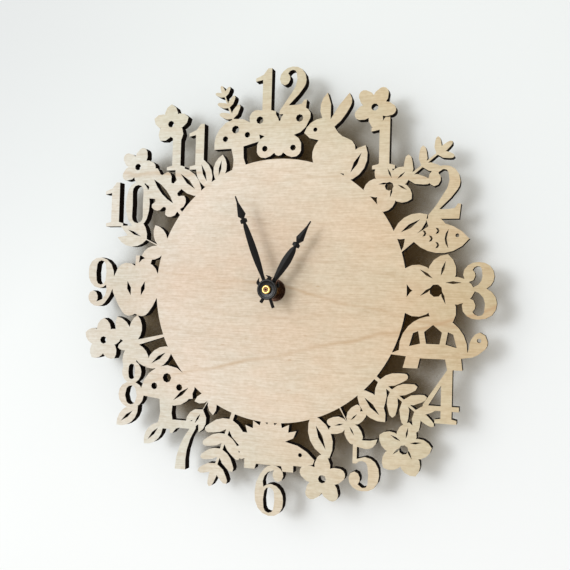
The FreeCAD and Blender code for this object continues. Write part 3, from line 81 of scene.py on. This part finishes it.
class Nodes:
    """Builds a material's node tree with short calls, from output sockets and plain values."""

    def __init__(self, name):
        self.material = bpy.data.materials.new(name)
        self.material.use_nodes = True
        self.tree = self.material.node_tree
        self.tree.nodes.clear()
        self.output = self.new("ShaderNodeOutputMaterial")
        self.shader = self.new("ShaderNodeBsdfPrincipled")
        self.plug(self.shader.outputs["BSDF"], self.output, "Surface")
        self.coordinates = self.new("ShaderNodeTexCoord")

    def new(self, kind, **values):
        node = self.tree.nodes.new(kind)
        for key, value in values.items():
            setattr(node, key, value)
        return node

    def plug(self, value, node, socket):
        """Links an input to an output socket, or gives it a value."""
        entry = node.inputs[socket]
        if isinstance(value, bpy.types.NodeSocket):
            self.tree.links.new(value, entry)
        elif entry.type == "RGBA":
            entry.default_value = (*value, 1.0)
        else:
            entry.default_value = value

    def fill(self, node, **values):
        """Plugs several inputs, with _ in place of the spaces of their names."""
        for name, value in values.items():
            self.plug(value, node, name.replace("_", " "))

    def axes(self, space="Object"):
        separate = self.new("ShaderNodeSeparateXYZ")
        self.plug(self.coordinates.outputs[space], separate, "Vector")
        return separate.outputs

    def placed(self, scale, turn=(0, 0, 0)):
        """Object coordinates in metres, turned and scaled."""
        mapping = self.new("ShaderNodeMapping")
        self.fill(mapping, Vector=self.coordinates.outputs["Object"], Scale=scale, Rotation=turn)
        return mapping.outputs["Vector"]

    def noise(self, scale, detail=3.0, rough=0.55, turn=(0, 0, 0)):
        """Noise with this many waves to the metre along each axis."""
        noise = self.new("ShaderNodeTexNoise")
        self.fill(noise, Vector=self.placed(scale, turn), Scale=1.0, Detail=detail, Roughness=rough)
        return noise.outputs["Fac"]

    def ramp(self, share, *stops):
        ramp = self.new("ShaderNodeValToRGB")
        elements = ramp.color_ramp.elements
        while len(elements) < len(stops):
            elements.new(0.5)
        for element, (place, colour) in zip(elements, stops):
            element.position = place
            element.color = (*colour, 1.0)
        self.plug(share, ramp, "Fac")
        return ramp.outputs["Color"]

    def mottled(self, noise, dark, light):
        """From dark to light over the middle of a noise's range."""
        return self.ramp(noise, (0.3, dark), (0.7, light))

    def mix(self, factor, first, second, blend="MIX"):
        mix = self.new("ShaderNodeMix", data_type="RGBA", blend_type=blend, clamp_factor=True)
        self.plug(factor, mix, MIX_FACTOR)
        self.plug(first, mix, MIX_FIRST)
        self.plug(second, mix, MIX_SECOND)
        return mix.outputs[MIX_RESULT]

    def tinted(self, colour, tint):
        return self.mix(1.0, colour, tint, "MULTIPLY")

    def math(self, operation, first, second=None, clamp=False):
        node = self.new("ShaderNodeMath", operation=operation, use_clamp=clamp)
        self.plug(first, node, 0)
        if second is not None:
            self.plug(second, node, 1)
        return node.outputs[0]

    def scaled(self, value, factor, shift=None):
        """A value times a factor, and shifted."""
        product = self.math("MULTIPLY", value, factor)
        return product if shift is None else self.math("ADD", product, shift)

    def bump(self, height, strength, distance):
        bump = self.new("ShaderNodeBump")
        self.fill(bump, Height=height, Strength=strength, Distance=distance)
        self.plug(bump.outputs["Normal"], self.shader, "Normal")


def grey(value):
    return (value, value, value)


def plain(name, colour, rough, metallic=0.0, size=4.0, change=0.12, bump=0.15, shine=0.5):
    """Moulded, painted or plated finish: mottled colour, uneven gloss and a fine texture."""
    gloss_change = 0.08
    least_rough = 0.02
    bump_depth = 0.05 * MM
    made = Nodes(name)
    density = 1.0 / (size * MM)
    fine_density = 9 * density
    broad = made.noise((density, density, density))
    fine = made.noise((fine_density, fine_density, fine_density), 4.0, 0.6)
    dark = tuple(channel * (1 - change) for channel in colour)
    light = tuple(channel * (1 + change) for channel in colour)
    smooth = max(rough - gloss_change, least_rough)
    made.fill(made.shader, Base_Color=made.mottled(broad, dark, light),
              Roughness=made.mottled(fine, grey(smooth), grey(rough + gloss_change)),
              Metallic=metallic, Specular_IOR_Level=shine)
    made.bump(fine, bump, bump_depth)
    return made.material


# Plywood. A tone is what the wood is multiplied by; some of the tones are painted light and shade.
# It goes from its first colour to its last as a share goes from 0 to 1, and the share is a place in
# metres times the factor, and shifted.

# Painted light and shade: paler and greyer on the left, where the daylight comes from, and darker
# and warmer on the right
LEFT_TO_RIGHT_PAINTED_LIGHT = (3.3, 0.5, (0.955, 0.99, 1.08), (0.832, 0.739, 0.576))
# Paler above and below the middle
ABOVE_AND_BELOW_TONE = (11.0, 0.0, WHITE, (1.073, 1.134, 1.207))
# Painted shade: the ring darker than the disc, from the square of the distance; most of all at its
# top
RING_PAINTED_SHADE = (147.0, -0.94, WHITE, (0.915, 0.945, 0.925))
TOP_PAINTED_SHADE = (25.0, -2.2, WHITE, (0.93, 0.91, 0.83))
# Rosy and pale patches, and a fine mottle: scale of the noise, and the colours it goes between
PATCHES = (((20, 20, 34), (1.024, 0.980, 0.962), (0.984, 1.008, 1.024)),
           ((330, 330, 520), (0.955, 0.945, 0.925), (1.045, 1.055, 1.075)))
# Long growth lines: rise along the sheet, level of the middle in metres, and strength
LONG_LINES = ((0.24, -0.0605, 0.55), (-0.18, -0.015, 0.35), (-0.05, 0.062, 0.30))
LONG_LINE_HALF_WIDTH = 1.8 * MM
LONG_LINE_SWAY = 0.030
CLOUD_STRENGTH = 0.42
FIBRE_STRENGTH = 0.46
GROWTH_STRENGTH = 0.17
FLECK_STRENGTH = 0.45
GROWTH_COLOUR = (0.47, 0.32, 0.19)
LONG_LINE_COLOUR = (0.50, 0.34, 0.20)
FLECK_COLOUR = (0.46, 0.30, 0.17)
PLY_THICKNESS = 1.3 * MM


def grain_with_painted_light(made, x, z, fibre):
    """Level grain in several sizes, with tones that change across the sheet and its ring, partly
    painted light and shade.
    """
    streak = made.noise((16, 16, 330), 3.0, 0.55, (0, 0.03, 0))
    cloud = made.noise((14, 14, 26), 2.0, 0.5)
    streaks = made.mottled(streak, (0.690, 0.580, 0.452), (0.735, 0.630, 0.502))
    clouds = made.mottled(cloud, (0.675, 0.527, 0.400), (0.765, 0.672, 0.555))
    fibres = made.ramp(fibre, (0.34, (0.57, 0.450, 0.322)), (0.58, (0.81, 0.723, 0.601)))
    grain_and_light = made.mix(FIBRE_STRENGTH, made.mix(CLOUD_STRENGTH, streaks, clouds), fibres)
    square = made.math("ADD", made.math("MULTIPLY", x, x), made.math("MULTIPLY", z, z))
    for place, tone in ((x, LEFT_TO_RIGHT_PAINTED_LIGHT),
                        (made.math("ABSOLUTE", z), ABOVE_AND_BELOW_TONE),
                        (square, RING_PAINTED_SHADE), (z, TOP_PAINTED_SHADE)):
        factor, shift, first, last = tone
        share = made.scaled(place, factor, shift)
        grain_and_light = made.tinted(grain_and_light, made.mix(share, first, last))
    for scale, first, last in PATCHES:
        patches = made.ramp(made.noise(scale, 3.0, 0.6), (0.36, first), (0.64, last))
        grain_and_light = made.tinted(grain_and_light, patches)
    return grain_and_light


def growth_lines(made, x, z, colour):
    """Faint rings that sweep across the sheet, a few long lines, and short dark flecks."""
    wave = made.new("ShaderNodeTexWave", wave_type="RINGS", rings_direction="Y",
                    wave_profile="SIN")
    made.fill(wave, Vector=made.placed((1.6, 1.6, 7.5), (0, -0.42, 0)), Scale=3.2,
              Distortion=5.5, Detail=2.0, Detail_Scale=0.8)
    line = made.ramp(wave.outputs["Fac"], (0.90, BLACK), (0.985, WHITE))
    patch = made.ramp(made.noise((11, 11, 16), 1.0), (0.45, BLACK), (0.62, WHITE))
    rings = made.scaled(made.math("MULTIPLY", line, patch), GROWTH_STRENGTH)
    colour = made.mix(rings, colour, GROWTH_COLOUR)
    sway = made.scaled(made.noise((9, 9, 9), 3.0, 0.5), LONG_LINE_SWAY)
    for rise, level, strength in LONG_LINES:
        height = made.math("SUBTRACT", made.math("ADD", made.scaled(x, rise), sway), z)
        fading = made.new("ShaderNodeMapRange")
        made.fill(fading, Value=made.math("ABSOLUTE", made.math("ADD", height, level)),
                  From_Min=0.0, From_Max=LONG_LINE_HALF_WIDTH, To_Min=strength, To_Max=0.0)
        whole = fading.outputs["Result"]
        broken = made.math("MULTIPLY", whole, patch)
        colour = made.mix(made.math("ADD", made.scaled(whole, 0.5), broken), colour,
                          LONG_LINE_COLOUR)
    fleck = made.ramp(made.noise((120, 120, 900), 2.0, 0.5), (0.715, BLACK), (0.76, WHITE))
    return made.mix(made.scaled(fleck, FLECK_STRENGTH), colour, FLECK_COLOUR)


def charred_edge(made, y):
    """Dark plies with thin paler glue lines, uneven with soot."""
    ply = made.math("FRACT", made.scaled(y, 1.0 / PLY_THICKNESS))
    layers = made.ramp(ply, (0.44, (0.0040, 0.0026, 0.0018)), (0.52, (0.0130, 0.0065, 0.0035)))
    soot = made.ramp(made.noise((260, 90, 260), 3.0), (0.35, (0.0015, 0.0012, 0.0010)),
                     (0.75, (0.0120, 0.0065, 0.0035)))
    return made.mix(0.5, layers, soot)


def plywood():
    """Birch plywood: pale rotary-cut face with fine level grain and painted light and shade, and
    laser-charred edges.
    """
    face_rough = 0.50
    fibre_rough = 0.18
    edge_rough = 0.25
    made = Nodes("birch_plywood")
    fibre = made.noise((75, 75, 1500), 5.0, 0.72)
    x, y, z = made.axes()
    face = growth_lines(made, x, z, grain_with_painted_light(made, x, z, fibre))
    facing = made.axes("Normal")[1]
    flat = made.math("GREATER_THAN", made.math("ABSOLUTE", facing), 0.5)
    rough = made.scaled(fibre, fibre_rough, face_rough)
    more = made.scaled(made.math("SUBTRACT", 1.0, flat), edge_rough)
    made.fill(made.shader, Base_Color=made.mix(flat, charred_edge(made, y), face),
              Roughness=made.math("ADD", rough, more), Specular_IOR_Level=0.03)
    made.bump(fibre, 0.18, 0.06 * MM)
    return made.material


def battery_wrap():
    """Dark wrap with a grey band and a bare metal end beside the button."""
    bare_length = 2.2 * MM
    band_length = 14 * MM
    made = Nodes("battery_wrap")
    button_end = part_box("battery")[1].x
    x = made.axes()[0]
    bare = made.math("GREATER_THAN", x, button_end - bare_length)
    band = made.math("GREATER_THAN", x, button_end - band_length)
    mottle = made.noise((300, 300, 300))
    dark = made.mottled(mottle, (0.020, 0.022, 0.025), (0.030, 0.033, 0.037))
    pale = made.mottled(mottle, (0.20, 0.21, 0.22), (0.26, 0.27, 0.28))
    steel = made.mottled(mottle, (0.60, 0.60, 0.58), (0.70, 0.70, 0.68))
    made.fill(made.shader, Base_Color=made.mix(bare, made.mix(band, dark, pale), steel),
              Metallic=made.scaled(bare, 0.9),
              Roughness=made.mottled(mottle, grey(0.26), grey(0.36)))
    return made.material


# Colour, roughness and metal share of each plain finish, and what else it takes
plain_finishes = {
    "case_plastic": ((0.022, 0.022, 0.024), 0.46, 0.0, dict(size=3, bump=0.5)),
    "hand_paint": ((0.0045, 0.0040, 0.0038), 0.24, 0.0,
                   dict(size=6, bump=0.25, change=0.3, shine=0.20)),
    "brass": ((0.60, 0.40, 0.13), 0.29, 1.0, dict(size=1.6, change=0.35)),
    # Brass darkened with painted shade, for the parts in the shade behind the hands' hub
    "dark_brass": ((0.078, 0.036, 0.020), 0.32, 0.75, dict(size=2.0, change=0.5)),
    # Brass darkened with painted shade, for the end of the minute tube down in the open nut
    "shaded_brass": ((0.11, 0.050, 0.020), 0.36, 0.8, dict(size=1.5, change=0.4)),
    "zinc_steel": ((0.58, 0.59, 0.60), 0.34, 1.0, dict(size=7)),
    "spring_steel": ((0.66, 0.66, 0.64), 0.28, 1.0, dict(size=3)),
    "board_green": ((0.012, 0.11, 0.045), 0.30, 0.0, dict(size=2, change=0.2)),
    "chip_black": ((0.014, 0.014, 0.014), 0.45, 0.0, dict(size=1.5)),
    "crystal_can": ((0.72, 0.72, 0.72), 0.25, 1.0, dict(size=2)),
    "motor_iron": ((0.42, 0.42, 0.43), 0.38, 1.0, dict(size=3)),
    "bobbin_plastic": ((0.70, 0.69, 0.64), 0.50, 0.0, dict(size=3, change=0.05)),
    "copper_wire": ((0.62, 0.24, 0.09), 0.32, 0.9, dict(size=1.2, bump=0.6)),
    "gear_plastic": ((0.76, 0.74, 0.66), 0.42, 0.0, dict(size=3, change=0.05)),
    "gear_red": ((0.42, 0.04, 0.03), 0.42, 0.0, dict(size=3, change=0.10)),
    "magnet_grey": ((0.10, 0.10, 0.11), 0.40, 0.4, dict(size=2))}
materials = {"birch_plywood": plywood(), "battery_wrap": battery_wrap()}
for name, (colour, rough, metallic, more) in plain_finishes.items():
    materials[name] = plain(name, colour, rough, metallic, **more)

# Nodes that don't take their slot's finish: the washer takes the same painted shade as its nut, and
# the end of the minute tube takes painted shade inside the open nut
other_finishes = {"brass_washer": "dark_brass", "minute_arbor": "shaded_brass"}
for part in frame["record"]["subparts"]:
    finish = other_finishes.get(part["node"], part["material_slot"])
    for material_slot in nodes[part["node"]].material_slots:
        material_slot.material = materials[finish]


# Hands: pressed blades with a ridge along the middle, on dished hubs. Stations go up the blade, as
# shares of its length and of half its width; True marks a sharp corner of the outline. Lengths in
# millimetres.

minute_blade_shares = (
    (0.0, 0.36, True), (0.08, 0.40, True), (0.15, 0.44, True), (0.29, 0.74, False),
    (0.45, 0.82, False), (0.66, 0.56, False), (0.705, 0.34, True), (0.712, 0.84, True),
    (0.745, 0.84, True), (0.757, 0.34, True), (0.792, 1.0, True), (0.86, 0.62, False),
    (0.93, 0.22, True), (0.985, 0.17, True), (1.0, 0.08, True))
hour_blade_shares = (
    (0.0, 0.36, True), (0.09, 0.46, True), (0.17, 0.50, True), (0.28, 0.80, False),
    (0.43, 1.0, False), (0.57, 0.72, False), (0.628, 0.32, True), (0.634, 0.84, True),
    (0.672, 0.84, True), (0.688, 0.32, True), (0.742, 0.90, True), (0.83, 0.54, False),
    (0.925, 0.20, True), (0.985, 0.16, True), (1.0, 0.08, True))
# Tail: shares of its length and of half the blade's width
tail_shares = ((1.0, 0.30), (0.97, 0.36))
# Hub: distance inside its radius in rim widths, and depth behind its front
hub_rim_shares = ((2.2, 0.28), (1.5, 0.12), (1.0, 0.0), (0.5, 0.03), (0.12, 0.16), (0.0, 0.40))
HUB_RIM_SHARE = 0.13
HUB_FLOOR_DEPTH = 0.28
HUB_BACK_ROUNDING = 0.2
HUB_RISE = 0.6
HAND_THICKNESS = 0.4
RIDGE_SHARE = 0.3
LEAST_WIDTH_SHARE = 0.03
BLADE_STEPS = 6
LATHE_SEGMENTS = 96
STRIP_CORNERS = 5
HORN_STEPS = 8
HORN_FOOT_SHARE = 0.72
HORN_LENGTH = 4.3
HORN_OFFSET = 1.35
HORN_BULGE = 0.75
HORN_BULGE_SPEED = 1.15
HORN_CURL = 1.0
HORN_HALF_WIDTH = 1.25
HORN_TAPER_POWER = 2.2
HORN_TIP = 0.05
SHARP_ANGLE = 24
WELD_DISTANCE = 0.0005 * MM


def smooth_stations(stations):
    """More stations along a blade, with smooth runs between its sharp corners."""
    made = []
    for index in range(len(stations) - 1):
        here, after = stations[index], stations[index + 1]
        before = stations[max(index - 1, 0)]
        beyond = stations[min(index + 2, len(stations) - 1)]
        step = after[0] - here[0]
        straight = (after[1] - here[1]) / step
        leaving = straight if here[2] else (after[1] - before[1]) / (after[0] - before[0])
        arriving = straight if after[2] else (beyond[1] - here[1]) / (beyond[0] - here[0])
        for count in range(BLADE_STEPS):
            t = count / BLADE_STEPS
            wide = ((2 * t ** 3 - 3 * t ** 2 + 1) * here[1]
                    + (t ** 3 - 2 * t ** 2 + t) * step * leaving
                    + (3 * t ** 2 - 2 * t ** 3) * after[1] + (t ** 3 - t ** 2) * step * arriving)
            made.append((here[0] + t * step, wide))
    return made + [stations[-1][:2]]


def skin(faces, low, high, count):
    """Faces between two rows of corners that each close on themselves."""
    for corner in range(count):
        beside = (corner + 1) % count
        faces.append((low + corner, low + beside, high + beside, high + corner))


def ridged_strip(vertices, faces, stations, front):
    """Upright strip with a raised middle line. A station is a middle point and a half width."""
    first = len(vertices)
    back = front + HAND_THICKNESS
    for x, z, half in stations:
        ridge = front - RIDGE_SHARE * half
        for side, y in ((-1, front), (0, ridge), (1, front), (1, back), (-1, back)):
            vertices.append((x + side * half, y, z))
    for index in range(len(stations) - 1):
        low = first + STRIP_CORNERS * index
        skin(faces, low, low + STRIP_CORNERS, STRIP_CORNERS)
    faces.append(tuple(range(first + STRIP_CORNERS - 1, first - 1, -1)))
    faces.append(tuple(range(len(vertices) - STRIP_CORNERS, len(vertices))))


def lathe(vertices, faces, profile):
    """Ring round the axis of the hands from a closed profile of radii and levels."""
    first = len(vertices)
    count = len(profile)
    for segment in range(LATHE_SEGMENTS):
        turn = 2 * math.pi * segment / LATHE_SEGMENTS
        for radius, y in profile:
            vertices.append((radius * math.sin(turn), y, radius * math.cos(turn)))
    for segment in range(LATHE_SEGMENTS):
        skin(faces, first + segment * count, first + (segment + 1) % LATHE_SEGMENTS * count, count)


def mesh_piece(node, vertices, faces, slot, body, turn=0.0):
    """Detailed piece that takes the place of a node, from points in millimetres."""
    name = node + "_detail"
    mesh = bpy.data.meshes.new(name)
    mesh.from_pydata([Vector(spot) * MM for spot in vertices], [], faces)
    bm = bmesh.new()
    bm.from_mesh(mesh)
    bmesh.ops.rotate(bm, verts=bm.verts, cent=(0, 0, 0),
                     matrix=Matrix.Rotation(math.radians(turn), 3, "Y"))
    bmesh.ops.remove_doubles(bm, verts=bm.verts, dist=WELD_DISTANCE)
    bmesh.ops.recalc_face_normals(bm, faces=bm.faces)
    bm.to_mesh(mesh)
    bm.free()
    mesh.materials.append(materials[slot])
    for face in mesh.polygons:
        face.use_smooth = True
    mesh.set_sharp_from_angle(angle=math.radians(SHARP_ANGLE))
    piece = bpy.data.objects.new(name, mesh)
    scene.collection.objects.link(piece)
    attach(piece, body)
    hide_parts(node)


def rounded_hub(radius, bore, front, back):
    """Profile of a dished hub: a shallow floor, a rolled rim and a rounded back."""
    rim = HUB_RIM_SHARE * radius
    return ([(bore, front + HUB_FLOOR_DEPTH)]
            + [(radius - inside * rim, front + depth) for inside, depth in hub_rim_shares]
            + [(radius, back - HUB_BACK_ROUNDING), (radius - HUB_BACK_ROUNDING, back),
               (bore, back)])


def horn(side, hub_radius):
    """Stations of one of the two curled horns beside the foot of a blade."""
    stations = []
    for count in range(HORN_STEPS + 1):
        t = count / HORN_STEPS
        bulge = HORN_BULGE * math.sin(math.pi * min(t * HORN_BULGE_SPEED, 1))
        x = side * (hub_radius / 3 + HORN_OFFSET + bulge - HORN_CURL * t ** 3)
        z = hub_radius * HORN_FOOT_SHARE + HORN_LENGTH * t
        half = HORN_HALF_WIDTH * (1 - t ** HORN_TAPER_POWER) + HORN_TIP
        stations.append((x, z, half))
    return stations


def hand(node, body, shares, length, width, tail, hub_radius, bore, turn):
    """Blade with its tail, two horns and the hub, turned to its hour."""
    low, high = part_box(node)
    front = low.y / MM + HUB_RISE
    half = width / 2
    stations = [(0, -tail * along, wide * half) for along, wide in tail_shares]
    stations += [(0, along * length, max(wide, LEAST_WIDTH_SHARE) * half)
                 for along, wide in smooth_stations(shares)]
    vertices, faces = [], []
    ridged_strip(vertices, faces, stations, front)
    for side in (-1, 1):
        ridged_strip(vertices, faces, horn(side, hub_radius), front)
    lathe(vertices, faces, rounded_hub(hub_radius, bore, low.y / MM, high.y / MM))
    mesh_piece(node, vertices, faces, "hand_paint", body, turn)


hand("minute_hand", "minute", minute_blade_shares, length=65.8, width=5.7, tail=12.7,
     hub_radius=6.75, bore=1.6, turn=-21.5)
hand("hour_hand", "hour", hour_blade_shares, length=52.3, width=6.2, tail=10.0,
     hub_radius=5.6, bore=2.5, turn=31.6)

# Open nut: radius and depth behind the front of the points round its hole, and distance inside
# its radius and depth of those on its shoulder
NUT_BORE = 1.6
nut_mouth = ((NUT_BORE, 0.45), (1.72, 0.10), (1.85, 0.0), (2.35, 0.0))
nut_shoulder = ((0.12, 0.30), (0.0, 0.50))
NUT_BACK_ROUNDING = 0.15


def open_nut():
    """Round brass nut with a sloping shoulder and a countersunk hole."""
    low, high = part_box("hand_nut")
    front, back = low.y / MM, high.y / MM
    radius = (high.x - low.x) / 2 / MM
    profile = ([(reach, front + depth) for reach, depth in nut_mouth]
               + [(radius - inside, front + depth) for inside, depth in nut_shoulder]
               + [(radius, back - NUT_BACK_ROUNDING), (radius - NUT_BACK_ROUNDING, back),
                  (NUT_BORE, back)])
    vertices, faces = [], []
    lathe(vertices, faces, profile)
    mesh_piece("hand_nut", vertices, faces, "brass", "minute")


open_nut()


# Wall behind the clock. It can be seen through from behind, it casts no shadow of its own, and it
# lets the room's light through to the back of the clock.

WALL_REACH = 3.0
WALL_GAP = 0.3 * MM
SHADE_REACH = 70 * MM
SHADE_SAMPLES = 16
NEAR_RAY = 0.25
# Painted shade in the wall's top left corner
CORNER_SHADE_COLOUR = (0.63, 0.645, 0.66)
# Painted shade close behind the clock: how open the wall is to the room, and the colour that this
# multiplies it by
painted_shade_tones = ((0.12, (0.054, 0.031, 0.010)), (0.30, (0.205, 0.152, 0.085)),
                   (0.46, (0.64, 0.62, 0.59)), (0.66, WHITE))


def wall_colour(made):
    """Pale paint with painted shade: darker towards the top and the left and in the top left
    corner, and much darker close behind the clock.
    """
    x, _, z = made.axes()
    paint = made.ramp(made.noise((1.6, 1.6, 1.6), 1.0), (0.35, (0.865, 0.892, 0.915)),
                      (0.65, (0.89, 0.908, 0.925)))
    height = made.scaled(z, 2.6, 0.5)
    across = made.scaled(x, 2.6, 0.5)
    # Painted shade towards the top and the left, and in the top left corner
    paint = made.tinted(paint, made.ramp(height, (0.0, WHITE), (1.0, (0.90, 0.91, 0.90))))
    paint = made.tinted(paint, made.ramp(across, (0.0, (0.95, 0.955, 0.95)), (1.0, WHITE)))
    corner = made.math("SUBTRACT", made.math("SUBTRACT", height, across), 0.5, clamp=True)
    paint = made.mix(corner, paint, CORNER_SHADE_COLOUR)
    # Painted shade close behind the clock, from how open the wall is to the room
    close = made.new("ShaderNodeAmbientOcclusion", samples=SHADE_SAMPLES)
    made.fill(close, Distance=SHADE_REACH)
    return made.tinted(paint, made.ramp(close.outputs["AO"], *painted_shade_tones))


def wall():
    made = Nodes("wall")
    made.fill(made.shader, Base_Color=wall_colour(made), Roughness=0.9, Specular_IOR_Level=0.1)
    made.bump(made.noise((90, 90, 90), 4.0, 0.6), 0.05, 0.2 * MM)
    path = made.new("ShaderNodeLightPath")
    near = made.math("LESS_THAN", path.outputs["Ray Length"], NEAR_RAY)
    indirect = made.math("SUBTRACT", 1.0, path.outputs["Is Camera Ray"])
    back = made.new("ShaderNodeNewGeometry").outputs["Backfacing"]
    hidden = made.math("MAXIMUM", back, path.outputs["Is Shadow Ray"])
    hidden = made.math("MAXIMUM", hidden, made.math("MULTIPLY", near, indirect))
    choice = made.new("ShaderNodeMixShader")
    made.plug(hidden, choice, 0)
    made.plug(made.shader.outputs["BSDF"], choice, 1)
    made.plug(made.new("ShaderNodeBsdfTransparent").outputs["BSDF"], choice, 2)
    made.plug(choice.outputs["Shader"], made.output, "Surface")
    mesh = bpy.data.meshes.new("wall")
    corners = [(side * WALL_REACH, WALL_GAP, level * WALL_REACH)
               for side, level in ((-1, -1), (1, -1), (1, 1), (-1, 1))]
    mesh.from_pydata(corners, [], [(0, 1, 2, 3)])
    mesh.materials.append(made.material)
    sheet = bpy.data.objects.new("wall", mesh)
    scene.collection.objects.link(sheet)


wall()


# Light: soft daylight from the left, and even light from all round

LIGHT_AIM = Vector((0.05, 0, 0))
DAYLIGHT = (0.95, 0.975, 1.0)
ROOM_COLOUR = (1.0, 0.965, 0.90)
ROOM_STRENGTH = 0.655


def window(name, place, size, power):
    data = bpy.data.lights.new(name, "AREA")
    data.shape = "DISK"
    data.size = size
    data.energy = power
    data.color = DAYLIGHT
    light = bpy.data.objects.new(name, data)
    light.location = place
    light.rotation_euler = (LIGHT_AIM - Vector(place)).to_track_quat("-Z", "Y").to_euler()
    scene.collection.objects.link(light)


window("window", (-0.88, -2.0, 0.35), size=0.7, power=13)
window("wide_window", (-1.0, -1.95, 0.6), size=1.9, power=19.5)
world = bpy.data.worlds.new("room")
world.use_nodes = True
room = world.node_tree.nodes["Background"]
room.inputs["Color"].default_value = (*ROOM_COLOUR, 1)
room.inputs["Strength"].default_value = ROOM_STRENGTH
scene.world = world
scene.view_settings.view_transform = "Standard"
